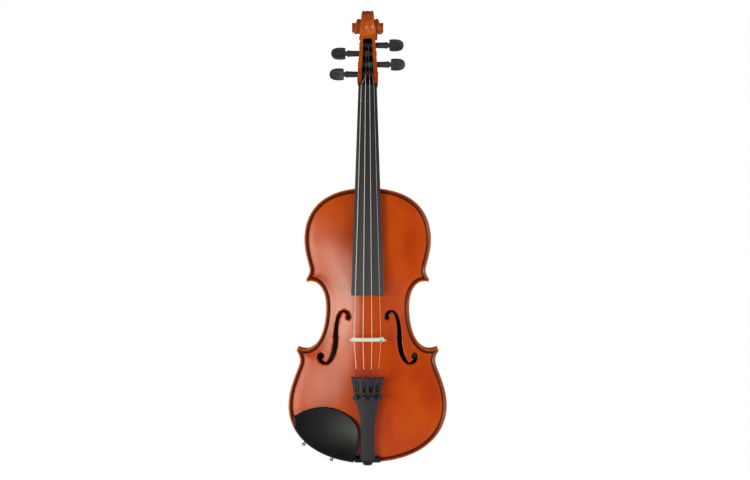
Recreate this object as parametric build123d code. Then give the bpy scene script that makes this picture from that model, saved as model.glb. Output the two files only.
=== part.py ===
from build123d import *
import math
import os

# A full-size violin, built as it comes apart on the bench.
#
# Body frame while modelling: X to the treble side, Y from the front to the back,
# Z up the instrument. Z = 0 is the bottom edge of the plates and Y = 0 the plane
# where the ribs meet the belly. The finished pieces are moved to the hanging
# point under the ears of the scroll.

os.makedirs("parts", exist_ok=True)

# ---------------------------------------------------------------- dimensions, mm
# Body outline
body_length = 356.0
lower_width = 205.6
waist_width = 108.2
upper_width = 164.6
lower_bout_at = 74.0
waist_at = 202.0
upper_bout_at = 288.5
lower_corner_at = 144.4
upper_corner_at = 233.8
lower_corner_width = 184.6
upper_corner_width = 157.4
corner_end = 5.2
lower_hollow_width = 175.8
lower_hollow_at = 132.0
upper_hollow_width = 150.6
upper_hollow_at = 250.0

# Plates
edge_thickness = 4.0
edge_overhang = 2.6
belly_arch = 11.2
back_arch = 10.8
belly_wall = 3.0
back_wall = 2.7
back_wall_extra = 1.8
purfling_inset = 4.0
purfling_width = 1.3
purfling_depth = 1.5
button_radius = 10.8
button_rise = 2.0
spline_step = 12.0

# Ribs, linings and blocks
rib_height = 31.0
rib_thickness = 1.1
lining_width = 2.0
lining_height = 7.5
neck_block_width = 50.0
neck_block_depth = 17.0
end_block_width = 44.0
end_block_depth = 15.0
corner_block_radius = 21.0

# Inside the body
bass_bar_length = 268.0
bass_bar_thickness = 5.5
bass_bar_height = 11.0
bass_bar_x = 17.5
bass_bar_slant = 1.2
sound_post_diameter = 6.2
sound_post_x = 20.0
sound_post_behind = 8.0

# Sound holes
eye_upper_x = 24.4
eye_upper_at = 187.5
eye_upper_radius = 3.2
eye_lower_x = 60.8
eye_lower_at = 137.1
eye_lower_radius = 4.3
stem_x = 41.0
stem_width = 5.8
nick_above_bridge = 3.5
nick_size = 1.5

# Neck and fingerboard
overstand = 6.0
neck_angle = 6.05
neck_stop = 132.0
board_length = 271.8
board_nut_width = 24.0
board_end_width = 42.0
board_side = 5.2
board_radius = 42.0
board_wall = 4.6
handle_depth_nut = 12.3
handle_depth_heel = 13.6
mortise_depth = 6.0
heel_top_half = 15.9
heel_sweep = 14.0
nut_length = 5.0
nut_lift = 0.6

# Pegbox and scroll
pegbox_length = 63.9
pegbox_belly_width = 27.3
pegbox_throat_width = 19.4
cavity_nut_width = 15.4
cavity_throat_width = 11.2
scroll_at = 214.9
scroll_depth = 20.0
scroll_radius = 27.2
scroll_ratio = 0.53
scroll_back_width = 17.2
scroll_widths = {90: 14.2, 180: 18.4, 270: 25.0, 360: 26.4, 450: 27.8, 540: 32.0, 630: 37.0, 720: 41.2}
scroll_core = 0.42
scroll_flute = 1.1
ear_radius = 6.5
bevel = 1.3

# Pegs
peg_stations = {"g": 151.2, "e": 164.6, "d": 179.7, "a": 191.2}
peg_depth_nut = 11.5
peg_depth_rise = 0.17
peg_diameter = 7.4
peg_taper = 1 / 30
peg_exposed = 17.9
peg_head_length = 18.9
peg_head_width = 15.6
peg_head_thickness = 7.0
peg_collar_diameter = 9.0
peg_collar_at = 3.2
peg_neck_diameter = 6.2
peg_dish_radius = 30.0
peg_dish_depth = 1.4
fit_clearance = 0.05

# Strings: diameter, and the side of the pegbox that carries the peg's head
strings = {"g": 0.82, "d": 0.84, "a": 0.68, "e": 0.34}
head_side = {"g": -1, "d": -1, "a": 1, "e": 1}
winding_x = {"g": 0.2, "d": -1.6, "a": 0.9, "e": 3.0}
peg_turn = {"g": 12, "d": -20, "a": 8, "e": -14}
nut_spacing = 16.5
bridge_spacing = 34.2
winding_length = 5.6
string_gap = 0.15

# Bridge
bridge_tail_face = 0.4466 * body_length
nick_at = bridge_tail_face + nick_above_bridge
board_clearance = 4.6
bridge_foot_span = 41.5
bridge_wing_span = 48.8
bridge_top_span = 42.6
bridge_foot_thickness = 4.3
bridge_top_thickness = 1.4
bridge_radius = 42.0
bridge_tilt = 0.069

# Tailpiece and its tuners
tail_end_z = 3.0
tail_end_y = -15.5
tail_head_z = 110.4
tail_head_y = -35.0
tail_head_width = 42.4
tail_head_bow = 0.9
tail_shoulder_width = 32.8
tail_shoulder_at = 84.0
tail_waist_width = 16.3
tail_waist_at = 34.0
tail_end_width = 19.8
tail_radius = 34.0
tail_wall = 3.4
slot_pitch = 14.9
slot_width = 4.6
slot_length = 16.4
slot_end = 107.2
tuner_pivot_at = 97.6
tuner_pivot_depth = 6.6
tuner_pin_diameter = 1.8
tuner_screw_at = 85.4
tuner_screw_diameter = 2.6
tuner_knob_diameter = 6.6
tuner_knob_height = 5.4
tuner_travel = 3.0
tuner_lobes = 12
lever_width = 3.2
ball_diameter = 3.6

# Saddle, end button and tailgut
saddle_width = 33.0
saddle_length = 8.0
saddle_height = 4.6
button_diameter = 13.4
button_shaft_diameter = 8.0
button_neck_diameter = 7.6
tailgut_diameter = 2.0
tailgut_depth = 3.3
tailgut_x = 4.2

# Chin rest and its clamp
cork_thickness = 2.8
chin_inset = 1.7
chin_band = 15.0
chin_bowl_x = -62.0
chin_bowl_at = 26.0
chin_bowl_floor = 3.6
chin_bowl_curve = 0.0047
chin_wall = 4.4
clamp_shares = (0.33, 0.612)
clamp_offset = 3.2
clamp_bend = 2.4
barrel_diameter = 5.0
barrel_length = 24.0
clamp_rod_diameter = 2.2
rod_gap = 4.0
key_hole_diameter = 1.8
clamp_foot_width = 9.0
clamp_foot_thickness = 1.6
soft_gap = 0.3
sleeve_diameter = 1.9
sleeve_length = 4.2

# ---------------------------------------------------------------- derived places
belly_edge_y = -edge_thickness
back_edge_y = rib_height + edge_thickness
neck_slope = math.radians(neck_angle)
neck_plane = Plane(
    origin=(0, belly_edge_y - overstand, body_length),
    x_dir=(1, 0, 0),
    z_dir=(0, -math.cos(neck_slope), math.sin(neck_slope)),
)
tail_slope = math.atan2(tail_end_y - tail_head_y, tail_head_z - tail_end_z)
tail_length = math.hypot(tail_end_y - tail_head_y, tail_head_z - tail_end_z)
tail_plane = Plane(
    origin=(0, tail_end_y, tail_end_z),
    x_dir=(1, 0, 0),
    z_dir=(0, -math.cos(tail_slope), -math.sin(tail_slope)),
)
string_order = ["g", "d", "a", "e"]


# ---------------------------------------------------------------- helpers
def frontal(face, front, back):
    """Extrude a face drawn in (X, Z) from the depth front to the depth back."""
    return extrude(Plane.XZ.offset(-back) * face, amount=back - front)


def both(half):
    """A closed face from the curves of its right half, mirrored about the centre line."""
    right = (Curve() + half).edges()
    left = [mirror(edge, about=Plane.YZ) for edge in right]
    return make_face([*right, *left])


def outline_curves():
    """Right half of the violin outline: bouts, waist and two corners, in (X, Z)."""
    low, mid, top = lower_width / 2, waist_width / 2, upper_width / 2
    low_tip = (lower_corner_width / 2, lower_corner_at)
    low_tip_end = (low_tip[0] - 0.28 * corner_end, low_tip[1] + corner_end)
    top_tip = (upper_corner_width / 2, upper_corner_at)
    top_tip_end = (top_tip[0] + 0.25 * corner_end, top_tip[1] + 0.75 * corner_end)
    low_hollow = (lower_hollow_width / 2, lower_hollow_at)
    top_hollow = (upper_hollow_width / 2, upper_hollow_at)
    low_run = lower_hollow_at - lower_bout_at
    top_run = upper_bout_at - upper_hollow_at
    top_rise = body_length - upper_bout_at
    waist_low = waist_at - low_tip_end[1]
    waist_top = top_tip[1] - waist_at
    return [
        Bezier((0, 0), (0.64 * low, 0), (low, 0.44 * lower_bout_at), (low, lower_bout_at)),
        Bezier((low, lower_bout_at), (low, lower_bout_at + 0.466 * low_run),
               (low_hollow[0], lower_hollow_at - 0.155 * low_run), low_hollow),
        Bezier(low_hollow, (low_hollow[0], lower_hollow_at + 5),
               (low_tip[0] - 2.9, low_tip[1] - 4.1), low_tip),
        Line(low_tip, low_tip_end),
        Bezier(low_tip_end, (low_tip_end[0] - 22.6, low_tip_end[1] - 11.6),
               (mid, waist_at - 0.69 * waist_low), (mid, waist_at)),
        Bezier((mid, waist_at), (mid, waist_at + 0.82 * waist_top),
               (top_tip[0] - 11.2, top_tip[1] + 4.6), top_tip),
        Line(top_tip, top_tip_end),
        Bezier(top_tip_end, (top_tip_end[0] - 2.3, top_tip_end[1] + 3.3),
               (top_hollow[0], upper_hollow_at - 5), top_hollow),
        Bezier(top_hollow, (top_hollow[0], upper_hollow_at + 4),
               (top, upper_bout_at - 0.43 * top_run), (top, upper_bout_at)),
        Bezier((top, upper_bout_at), (top, upper_bout_at + 0.531 * top_rise),
               (0.747 * top, body_length), (0, body_length)),
    ]


outline = both(outline_curves())


def inset(distance):
    """The outline moved inwards, its curved stretches drawn as smooth splines."""
    moved = offset(outline, amount=-distance, kind=Kind.INTERSECTION)
    rim = []
    for edge in moved.edges():
        if edge.geom_type == GeomType.LINE:
            rim.append(edge)
        else:
            steps = max(3, math.ceil(edge.length / spline_step))
            points = [edge @ (step / steps) for step in range(steps + 1)]
            rim.append(Spline(*points, tangents=(edge % 0, edge % 1)))
    return make_face(rim)


def band(outer, inner):
    """The strip between two insets of the outline."""
    return inset(outer) - inset(inner)


def arch(x, z):
    """How full the arching is, 1 on the ridge and 0 at the edge, with a soft recurve there."""
    if z < lower_bout_at:
        half = lower_width / 2
    elif z < waist_at:
        share = (1 - math.cos(math.pi * (z - lower_bout_at) / (waist_at - lower_bout_at))) / 2
        half = (lower_width + (waist_width - lower_width) * share) / 2
    elif z < upper_bout_at:
        share = (1 - math.cos(math.pi * (z - waist_at) / (upper_bout_at - waist_at))) / 2
        half = (waist_width + (upper_width - waist_width) * share) / 2
    else:
        half = upper_width / 2
    across = min(abs(x) / half, 1)
    along = min(abs(2 * z / body_length - 1), 1)
    cross_arch = math.cos(math.pi / 2 * across ** 1.15) ** 2
    long_arch = max(math.cos(math.pi / 2 * along ** 2.2), 0) ** 1.3
    return cross_arch * long_arch


def arched_form(depth_at, toward):
    """Everything on one side of a surface Y = depth_at(x, z): the back side for 1, the front for -1."""
    step = 7.0
    columns = 2 * math.ceil((lower_width / 2 + step) / step)
    rows = math.ceil((body_length + 6 * step) / step)
    grid = [
        [
            Vector(x, depth_at(x, z), z)
            for z in [step * (row - 2) for row in range(rows + 1)]
        ]
        for x in [step * (column - columns / 2) for column in range(columns + 1)]
    ]
    surface = Face.make_surface_from_array_of_points(grid, tol=0.01)
    return extrude(surface, amount=2 * rib_height, dir=(0, toward, 0))


def sagitta(half, radius):
    return radius - math.sqrt(radius ** 2 - half ** 2)


def string_line(z):
    """Depth of a straight line over the middle of the board, from the nut past its free end."""
    nut_crown = board_side + sagitta(board_nut_width / 2, board_radius) + nut_lift
    end_crown = board_side + sagitta(board_end_width / 2, board_radius) + board_clearance
    over_nut = (neck_plane * Pos(0, neck_stop, nut_crown)).position
    over_end = (neck_plane * Pos(0, neck_stop - board_length, end_crown)).position
    share = (z - over_nut.Z) / (over_end.Z - over_nut.Z)
    return over_nut.Y + (over_end.Y - over_nut.Y) * share


def belly_depth(x, z):
    return belly_edge_y - belly_arch * arch(x, z)


def back_depth(x, z):
    return back_edge_y + back_arch * arch(x, z)


def back_inside(x, z):
    return back_depth(x, z) - back_wall - back_wall_extra * arch(x, z)


belly_form = arched_form(belly_depth, 1)
belly_inside_form = arched_form(lambda x, z: belly_depth(x, z) + belly_wall, 1)
back_form = arched_form(back_depth, -1)
back_inside_form = arched_form(back_inside, -1)
bridge_height = belly_depth(0, bridge_tail_face) - string_line(bridge_tail_face)


# ---------------------------------------------------------------- blocks, ribs, linings
rib_outer = inset(edge_overhang)
rib_inner = inset(edge_overhang + rib_thickness)
button_at = body_length + button_rise


def block_prints():
    """Footprints of the blocks inside the ribs, as faces in (X, Z)."""
    neck = Pos(0, body_length) * Rectangle(neck_block_width, 2 * (neck_block_depth + edge_overhang))
    end = Rectangle(end_block_width, 2 * (end_block_depth + edge_overhang))
    corners = []
    for side in (-1, 1):
        for x, z in ((lower_corner_width / 2, lower_corner_at + corner_end / 2),
                     (upper_corner_width / 2, upper_corner_at)):
            corners.append(Pos(side * x, z) * Circle(corner_block_radius))
    return (
        neck & rib_inner,
        end & rib_inner,
        [corner & rib_inner for corner in corners],
    )


neck_print, end_print, corner_prints = block_prints()
block_area = Sketch() + [neck_print, end_print, *corner_prints]


def make_ribs():
    """The garland in six strips: a pair each of upper, middle and lower ribs."""
    garland = frontal(rib_outer - rib_inner, 0, rib_height)
    low_cut = lower_corner_at + corner_end / 2
    top_cut = upper_corner_at + corner_end / 2
    spans = {
        "lower_ribs": (-10, low_cut),
        "middle_ribs": (low_cut, top_cut),
        "upper_ribs": (top_cut, body_length + 10),
    }
    ribs = {}
    for name, (start, end) in spans.items():
        strips = []
        for side in (-1, 1):
            window = Pos(side * lower_width / 2, (start + end) / 2) * Rectangle(lower_width, end - start)
            strips.append(garland & frontal(window, -1, rib_height + 1))
        ribs[name] = strips
    return ribs


def make_linings(front, back):
    """Six strips glued inside the ribs between the blocks, between two depths."""
    ring = band(edge_overhang + rib_thickness, edge_overhang + rib_thickness + lining_width)
    return frontal(ring - block_area, front, back).solids()


# ---------------------------------------------------------------- plates
def sound_hole():
    """The right-hand sound hole: two eyes joined by a stem that swings into two pointed wings."""
    top_x, top_z, low_x, low_z = eye_upper_x, eye_upper_at, eye_lower_x, eye_lower_at
    outer, inner = stem_x + stem_width / 2, stem_x - stem_width / 2
    crest, sole = (top_x + 5.0, top_z + 9.5), (low_x - 6.3, low_z - 11.1)
    top_wing, low_wing = (top_x + 5.2, top_z + 6.8), (low_x - 7.7, low_z - 8.3)
    top_left, top_right = (top_x - eye_upper_radius, top_z), (top_x + 2.9, top_z + 1.35)
    low_left, low_right = (low_x - 3.5, low_z - 2.5), (low_x + eye_lower_radius, low_z)
    stem = make_face([
        Bezier(top_left, (top_left[0], top_z + 5.7), (crest[0] - 5, crest[1]), crest),
        Bezier(crest, (crest[0] + 9.1, crest[1]), (outer - 0.4, nick_at + 21.5), (outer, nick_at)),
        Bezier((outer, nick_at), (outer, nick_at - 16.5), (low_wing[0] - 5.5, low_wing[1] + 5.7), low_wing),
        Bezier(low_wing, (low_wing[0] + 1.9, low_wing[1] + 1.4), (low_left[0] - 0.7, low_left[1] - 2.8), low_left),
        Line(low_left, low_right),
        Bezier(low_right, (low_right[0], low_z - 6.6), (sole[0] + 6, sole[1]), sole),
        Bezier(sole, (sole[0] - 12.5, sole[1]), (inner - 1.6, nick_at - 21.5), (inner, nick_at)),
        Bezier((inner, nick_at), (inner - 1.5, nick_at + 18.5), (top_wing[0] + 4.6, top_wing[1] - 3.8), top_wing),
        Bezier(top_wing, (top_wing[0] - 1.2, top_wing[1] - 1.7), (top_right[0] + 0.3, top_right[1] + 2.4), top_right),
        Line(top_right, top_left),
    ])
    hole = stem + Pos(top_x, top_z) * Circle(eye_upper_radius)
    hole += Pos(low_x, low_z) * Circle(eye_lower_radius)
    for side in (-1, 1):
        edge = stem_x + side * (stem_width / 2 - 0.3)
        hole += make_face(Polyline(
            (edge, nick_at - nick_size), (edge + side * nick_size, nick_at),
            (edge, nick_at + nick_size), close=True))
    return hole


def saddle_block():
    """The block of ebony let into the lower edge of the belly."""
    seat = Pos(0, saddle_length / 2) * Rectangle(saddle_width, saddle_length)
    blank = frontal(seat, belly_edge_y - saddle_height, 0)
    crest = blank.edges().filter_by(Axis.X).sort_by(Axis.Y)[:2]
    return fillet(crest, 2.4)


def make_belly(neck_root, saddle):
    """The spruce plate: arched outside, hollowed inside, with sound holes and inlay."""
    hollow = inset(edge_overhang + rib_thickness + lining_width) - block_area
    plate = frontal(outline, belly_edge_y - belly_arch - 2, 0) & belly_form
    plate -= frontal(hollow, belly_edge_y - belly_arch - 2, 0) & belly_inside_form
    hole = sound_hole()
    for face in (hole, mirror(hole, about=Plane.YZ)):
        plate -= frontal(face, belly_edge_y - belly_arch - 2, 1)
    channel = frontal(band(purfling_inset, purfling_inset + purfling_width),
                      belly_edge_y - belly_arch, belly_edge_y + purfling_depth)
    ends = [neck_root, saddle]
    inlay = (plate & channel) - ends
    return plate - channel - ends, inlay


def make_back():
    """The maple plate with its button, arched outside and hollowed inside, and its inlay."""
    hollow = inset(edge_overhang + rib_thickness + lining_width) - block_area
    with_button = outline + Pos(0, button_at) * Circle(button_radius)
    plate = frontal(with_button, rib_height, back_edge_y + back_arch + 2) & back_form
    plate -= frontal(hollow, rib_height, back_edge_y + back_arch + 2) & back_inside_form
    channel = frontal(band(purfling_inset, purfling_inset + purfling_width),
                      back_edge_y - purfling_depth, back_edge_y + back_arch)
    return plate - channel, plate & channel


# ---------------------------------------------------------------- inside the body
def make_bass_bar():
    """A spruce bar under the bass strings, fitted to the inside of the belly."""
    centre = body_length / 2 + 8
    half = bass_bar_length / 2
    base = belly_edge_y - belly_arch + belly_wall
    side = make_face([
        Line((base - 2, centre + half), (base - 2, centre - half)),
        Line((base - 2, centre - half), (1.2, centre - half)),
        ThreePointArc((1.2, centre - half), (base + bass_bar_height, centre), (1.2, centre + half)),
        Line((1.2, centre + half), (base - 2, centre + half)),
    ])
    bar = extrude(Plane.YZ * side, amount=bass_bar_thickness / 2, both=True)
    turned = Pos(-bass_bar_x, 0, bridge_tail_face) * Rot(0, bass_bar_slant, 0)
    bar = turned * Pos(0, 0, -bridge_tail_face) * bar
    return bar & belly_inside_form


def make_sound_post():
    """A spruce dowel standing between the plates behind the treble foot of the bridge."""
    place = Pos(sound_post_x, bridge_tail_face - sound_post_behind)
    dowel = frontal(place * Circle(sound_post_diameter / 2), belly_edge_y - belly_arch,
                    back_edge_y + back_arch)
    return dowel & belly_inside_form & back_inside_form


# ---------------------------------------------------------------- neck
def board_half(along):
    """Half width of the fingerboard at a distance along the neck."""
    share = (neck_stop - along) / board_length
    return (board_nut_width + (board_end_width - board_nut_width) * share) / 2


def cross_plane(along):
    """Section plane of the neck frame: local x across and local y to the front."""
    return Plane(origin=(0, along, 0), x_dir=(1, 0, 0), z_dir=(0, -1, 0))


def board_section(along, trim, bottom, side):
    half = board_half(along) - trim
    crown = side + sagitta(half, board_radius)
    return cross_plane(along) * make_face([
        Line((-half, bottom), (half, bottom)),
        Line((half, bottom), (half, side)),
        ThreePointArc((half, side), (0, crown), (-half, side)),
        Line((-half, side), (-half, bottom)),
    ])


def make_fingerboard():
    """Ebony board, crowned on top and hollowed under its free end."""
    end = neck_stop - board_length
    board = loft([board_section(end, 0, 0, board_side), board_section(neck_stop, 0, 0, board_side)])
    hollow = loft([
        board_section(end - 1, board_wall, -1, board_side - board_wall),
        board_section(-16, board_wall, -1, -0.5),
    ])
    return neck_plane * (board - hollow)


def handle_section(along, depth):
    half = board_half(along)
    return cross_plane(along) * make_face([
        Line((-half, 0), (half, 0)),
        Bezier((half, 0), (half, -0.62 * depth), (0.56 * half, -depth), (0, -depth)),
        Bezier((0, -depth), (-0.56 * half, -depth), (-half, -0.62 * depth), (-half, 0)),
    ])


def heel_section(depth, half, reach, cap):
    """A section of the heel at one depth: straight sides and a rounded upper end."""
    root = body_length - edge_overhang - mortise_depth
    start = reach - cap
    return Plane.XZ.offset(-depth) * make_face([
        Line((-half, root), (half, root)),
        Line((half, root), (half, start)),
        Bezier((half, start), (half, start + 0.56 * cap), (0.56 * half, reach), (0, reach)),
        Bezier((0, reach), (-0.56 * half, reach), (-half, start + 0.56 * cap), (-half, start)),
        Line((-half, start), (-half, root)),
    ])


def make_heel():
    """The heel, tapering from the fingerboard to the button of the back."""
    front, throat_y = belly_edge_y - overstand, 5.5
    lip = button_at + button_radius

    def section(depth):
        half = button_radius + (heel_top_half - button_radius) * (rib_height - depth) / (rib_height - front)
        rise = heel_sweep * ((rib_height - depth) / (rib_height - throat_y)) ** 6
        return heel_section(depth, half, lip + rise, button_radius + 0.8 * rise)

    depths = [throat_y + (rib_height - throat_y) * share for share in (0, 0.1, 0.22, 0.38, 0.6, 1)]
    shoulder = heel_section(front, heel_top_half, lip - 3, button_radius)
    return loft([shoulder, section(throat_y)], ruled=True) + loft([section(depth) for depth in depths])


def extrude_side(face, width):
    """Extrude a side-view face symmetrically across the neck."""
    return extrude(Plane.YZ * face, amount=width / 2, both=True)


def pegbox_front(nut_half, belly_half, throat_half, start, end):
    """Front view of the pegbox or of its cavity: swelling, then tapering to the throat."""
    swell = start + 0.2 * (end - start)
    half = [
        Line((0, start), (nut_half, start)),
        Bezier((nut_half, start), (belly_half, start + 3), (belly_half, swell - 3), (belly_half, swell)),
        Line((belly_half, swell), (throat_half, end)),
        Line((throat_half, end), (0, end)),
    ]
    return both(half)


def make_pegbox():
    """The pegbox blank: side profile and front profile intersected, then hollowed."""
    start = neck_stop
    throat = neck_stop + nut_length + pegbox_length
    back_mid = (neck_stop + 28, -28.6)
    scroll_back = (scroll_at, -scroll_depth - 0.81 * scroll_radius)
    side = make_face([
        Line((start, 0), (start + nut_length + 1, -0.3)),
        Line((start + nut_length + 1, -0.3), (throat, -12.2)),
        Line((throat, -12.2), (scroll_at - 6, -15)),
        Line((scroll_at - 6, -15), (scroll_at, -24)),
        Line((scroll_at, -24), scroll_back),
        Bezier(scroll_back, (scroll_at - 15, scroll_back[1]), (back_mid[0] + 18, -31.2), back_mid),
        Bezier(back_mid, (start + 13, -26.6), (start + 8, -14), (start, -handle_depth_nut)),
        Line((start, -handle_depth_nut), (start, 0)),
    ])
    front = pegbox_front(board_nut_width / 2, pegbox_belly_width / 2, pegbox_throat_width / 2,
                         start, throat)
    front += both([
        Line((0, throat), (pegbox_throat_width / 2, throat)),
        Line((pegbox_throat_width / 2, throat), (8.6, scroll_at)),
        Line((8.6, scroll_at), (0, scroll_at)),
    ])
    blank = extrude_side(side, 60) & extrude(front, amount=80, both=True)
    cavity_start = start + nut_length + 3.5
    cavity_end = throat - 3
    cavity_side = make_face([
        Line((cavity_start, 5), (cavity_start, -9)),
        Bezier((cavity_start, -9), (cavity_start + 3, -18), (cavity_start + 9, -22.3),
               (cavity_start + 18, -23.4)),
        Line((cavity_start + 18, -23.4), (cavity_end - 2, -28.6)),
        Line((cavity_end - 2, -28.6), (cavity_end, 5)),
        Line((cavity_end, 5), (cavity_start, 5)),
    ])
    cavity_front = pegbox_front(0.45 * cavity_nut_width, cavity_nut_width / 2,
                                cavity_throat_width / 2, cavity_start - 1, cavity_end + 1)
    cavity = extrude_side(cavity_side, 40) & extrude(cavity_front, amount=80, both=True)
    return blank, cavity


def scroll_reach(angle):
    """Radius of the scroll at an angle in degrees, 0 at the back and 90 at the top."""
    spiral = scroll_radius * scroll_ratio ** (angle / 360)
    return spiral * (1 - 0.19 * max(0, 1 - angle / 90))


def scroll_width(angle):
    """Width of the scroll: narrowest on top, growing inwards to the ears."""
    if angle < 90:
        share = (1 + math.cos(math.pi * angle / 90)) / 2
        return scroll_widths[90] + (scroll_back_width - scroll_widths[90]) * share
    below = min(90 * int(angle // 90), 630)
    share = (angle - below) / 90
    return scroll_widths[below] * (1 - share) + scroll_widths[below + 90] * share


def scroll_section(angle):
    turn = math.radians(angle)
    plane = Plane(
        origin=(0, scroll_at, -scroll_depth),
        x_dir=(1, 0, 0),
        z_dir=(0, math.cos(turn), math.sin(turn)),
    )
    reach, half = scroll_reach(angle), scroll_width(angle) / 2
    core, rim, crest = scroll_core * reach, reach - bevel, half - bevel
    flute = reach - scroll_flute
    return plane * make_face([
        Line((-half, core), (-half, rim)),
        Line((-half, rim), (-crest, reach)),
        ThreePointArc((-crest, reach), (-crest / 2, flute), (0, reach)),
        ThreePointArc((0, reach), (crest / 2, flute), (crest, reach)),
        Line((crest, reach), (half, rim)),
        Line((half, rim), (half, core)),
        Line((half, core), (-half, core)),
    ])


def make_scroll():
    """Two turns of a spiral that grows wider towards its eyes, as lofted half turns."""
    scroll = Pos(0, scroll_at, -scroll_depth) * Rot(0, 90, 0) * Cylinder(ear_radius, scroll_widths[720])
    turns = []
    for start in range(0, 720, 180):
        turns.append(loft([scroll_section(start + 30 * step) for step in range(7)]))
    return scroll, turns


def make_neck():
    """Neck, pegbox and scroll carved from one piece of maple."""
    handle = loft([
        handle_section(neck_stop, handle_depth_nut),
        handle_section(neck_stop * 0.6, handle_depth_nut + 0.2),
        handle_section(neck_stop * 0.3, handle_depth_nut + 0.7),
        handle_section(4, handle_depth_heel),
    ])
    heel = make_heel()
    above_board = neck_plane * (Pos(0, 0, lower_width / 2) * Box(lower_width, 2 * body_length, lower_width))
    heel -= above_board
    blank, cavity = make_pegbox()
    eye, turns = make_scroll()
    head = blank
    for turn in turns:
        head += turn
    head += eye
    head -= cavity
    neck = neck_plane * (head + handle)
    for name in string_order:
        neck -= peg_bore(name)
    return neck + heel, heel


# ---------------------------------------------------------------- pegs
def peg_plane(name):
    """Frame of one peg: local z along its axis, from the head to the tip."""
    along = peg_stations[name]
    depth = peg_depth_nut + (along - peg_stations["g"]) * peg_depth_rise
    centre = neck_plane * Pos(0, along, -depth)
    side = head_side[name]
    return Plane(origin=centre.position, x_dir=(0, 0, 1), z_dir=(-side, 0, 0))


def pegbox_half(along):
    """Half width of the pegbox at a distance along the neck."""
    throat = neck_stop + nut_length + pegbox_length
    swell = neck_stop + 0.2 * (throat - neck_stop)
    share = max(0, along - swell) / (throat - swell)
    return (pegbox_belly_width + (pegbox_throat_width - pegbox_belly_width) * share) / 2


def peg_radius(name, along_axis):
    """Radius of a peg, which tapers from its head side to its tip."""
    wall = pegbox_half(peg_stations[name])
    return peg_diameter / 2 - (along_axis + wall) * peg_taper / 2


def peg_bore(name):
    """The tapered hole through both cheeks of the pegbox, a running fit for the peg."""
    wall = pegbox_half(peg_stations[name]) + 4
    near, far = peg_radius(name, -wall) + fit_clearance, peg_radius(name, wall) + fit_clearance
    return peg_plane(name) * (Cone(near, far, 2 * wall))


def make_peg(name):
    """A turned shaft with a collar, and a thumb piece with dished faces set on its end."""
    wall = pegbox_half(peg_stations[name])
    shaft, neck, collar = peg_radius(name, -wall), peg_neck_diameter / 2, peg_collar_diameter / 2
    tip = wall + 0.6
    start = -wall - peg_exposed
    head_end = start - peg_head_length
    collar_at = start + peg_collar_at
    root = start - 0.7 * peg_head_length
    profile = make_face(Polyline(
        (0, root), (0, tip), (peg_radius(name, tip), tip), (shaft, -wall), (shaft + 0.3, collar_at + 2.2),
        (collar, collar_at + 1.2), (collar, collar_at), (neck, collar_at - 1.6), (neck - 0.5, root), close=True))
    turned = revolve(Plane.XZ * profile, axis=Axis.Z)
    half = peg_head_width / 2
    thumb = both([
        Line((0, start), (0.66 * half, start)),
        Bezier((0.66 * half, start), (0.92 * half, start), (0.97 * half, start - 0.6), (0.98 * half, start - 3.2)),
        Bezier((0.98 * half, start - 3.2), (1.07 * half, start - 0.66 * peg_head_length),
               (0.84 * half, head_end), (0, head_end)),
    ])
    paddle = extrude(Plane.XZ * thumb, amount=peg_head_thickness / 2, both=True)
    paddle = fillet(paddle.edges(), 1.6)
    for side in (-1, 1):
        centre_y = side * (peg_head_thickness / 2 - peg_dish_depth + peg_dish_radius)
        paddle -= Pos(0, centre_y, start - 0.52 * peg_head_length) * Sphere(peg_dish_radius)
    return peg_plane(name) * Rot(0, 0, peg_turn[name]) * (turned + paddle)


# ---------------------------------------------------------------- strings
def string_x(name, spacing):
    return spacing * (string_order.index(name) / 3 - 0.5)


def bridge_top_y(x):
    """Depth of the crown of the bridge, lower on the treble side."""
    crown = bridge_height - sagitta(abs(x), bridge_radius) - bridge_tilt * x
    return belly_depth(0, bridge_tail_face) - crown


def winding_radius(name):
    axis_x = winding_x[name] * -head_side[name]
    return peg_radius(name, axis_x) + strings[name]


def string_route(name):
    """Peg, nut, bridge and ball, as points on the string's axis."""
    radius = strings[name] / 2
    along = peg_stations[name]
    depth = peg_depth_nut + (along - peg_stations["g"]) * peg_depth_rise
    x_nut = string_x(name, nut_spacing)
    nut_top = board_side + sagitta(board_nut_width / 2, board_radius) + nut_lift
    nut_top -= sagitta(abs(x_nut), board_radius)
    reach = winding_radius(name) + radius + string_gap
    slope = math.atan2(nut_top + depth - reach, along - neck_stop - 1.5)
    tangent = (along + reach * math.sin(slope), -depth + reach * math.cos(slope))
    start = neck_plane * Pos(winding_x[name], *tangent)
    over_nut = neck_plane * Pos(x_nut, neck_stop + 1.5, nut_top + 0.2 * radius)
    x_bridge = string_x(name, bridge_spacing)
    over_bridge = Pos(x_bridge, bridge_top_y(x_bridge) - 0.4 * radius,
                      bridge_tail_face + bridge_top_thickness / 2)
    over_ridge = tuner_place(name) * Pos(0, tail_length - 1.2, 1.0 + 0.6 * radius)
    at_ball = tuner_place(name) * Pos(0, tuner_pivot_at + 1.9, -0.9)
    return [place.position for place in (start, over_nut, over_bridge, over_ridge, at_ball)]


def tube(points, radii, radius):
    """A round tube along straight runs joined by arcs."""
    path = FilletPolyline(*points, radius=radii)
    section = Plane(origin=path @ 0, z_dir=path % 0) * Circle(radius)
    return sweep(section, path=path)


def make_string(name):
    return tube(string_route(name), [2.0, 1.5, 1.2], strings[name] / 2)


def make_sleeve():
    """A short tube that keeps the thin E string from cutting into the bridge."""
    route = string_route("e")
    before = route[2] + (route[1] - route[2]).normalized() * 0.3 * sleeve_length
    after = route[2] + (route[3] - route[2]).normalized() * 0.7 * sleeve_length
    return tube([before, route[2], after], [1.0], sleeve_diameter / 2)


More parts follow.
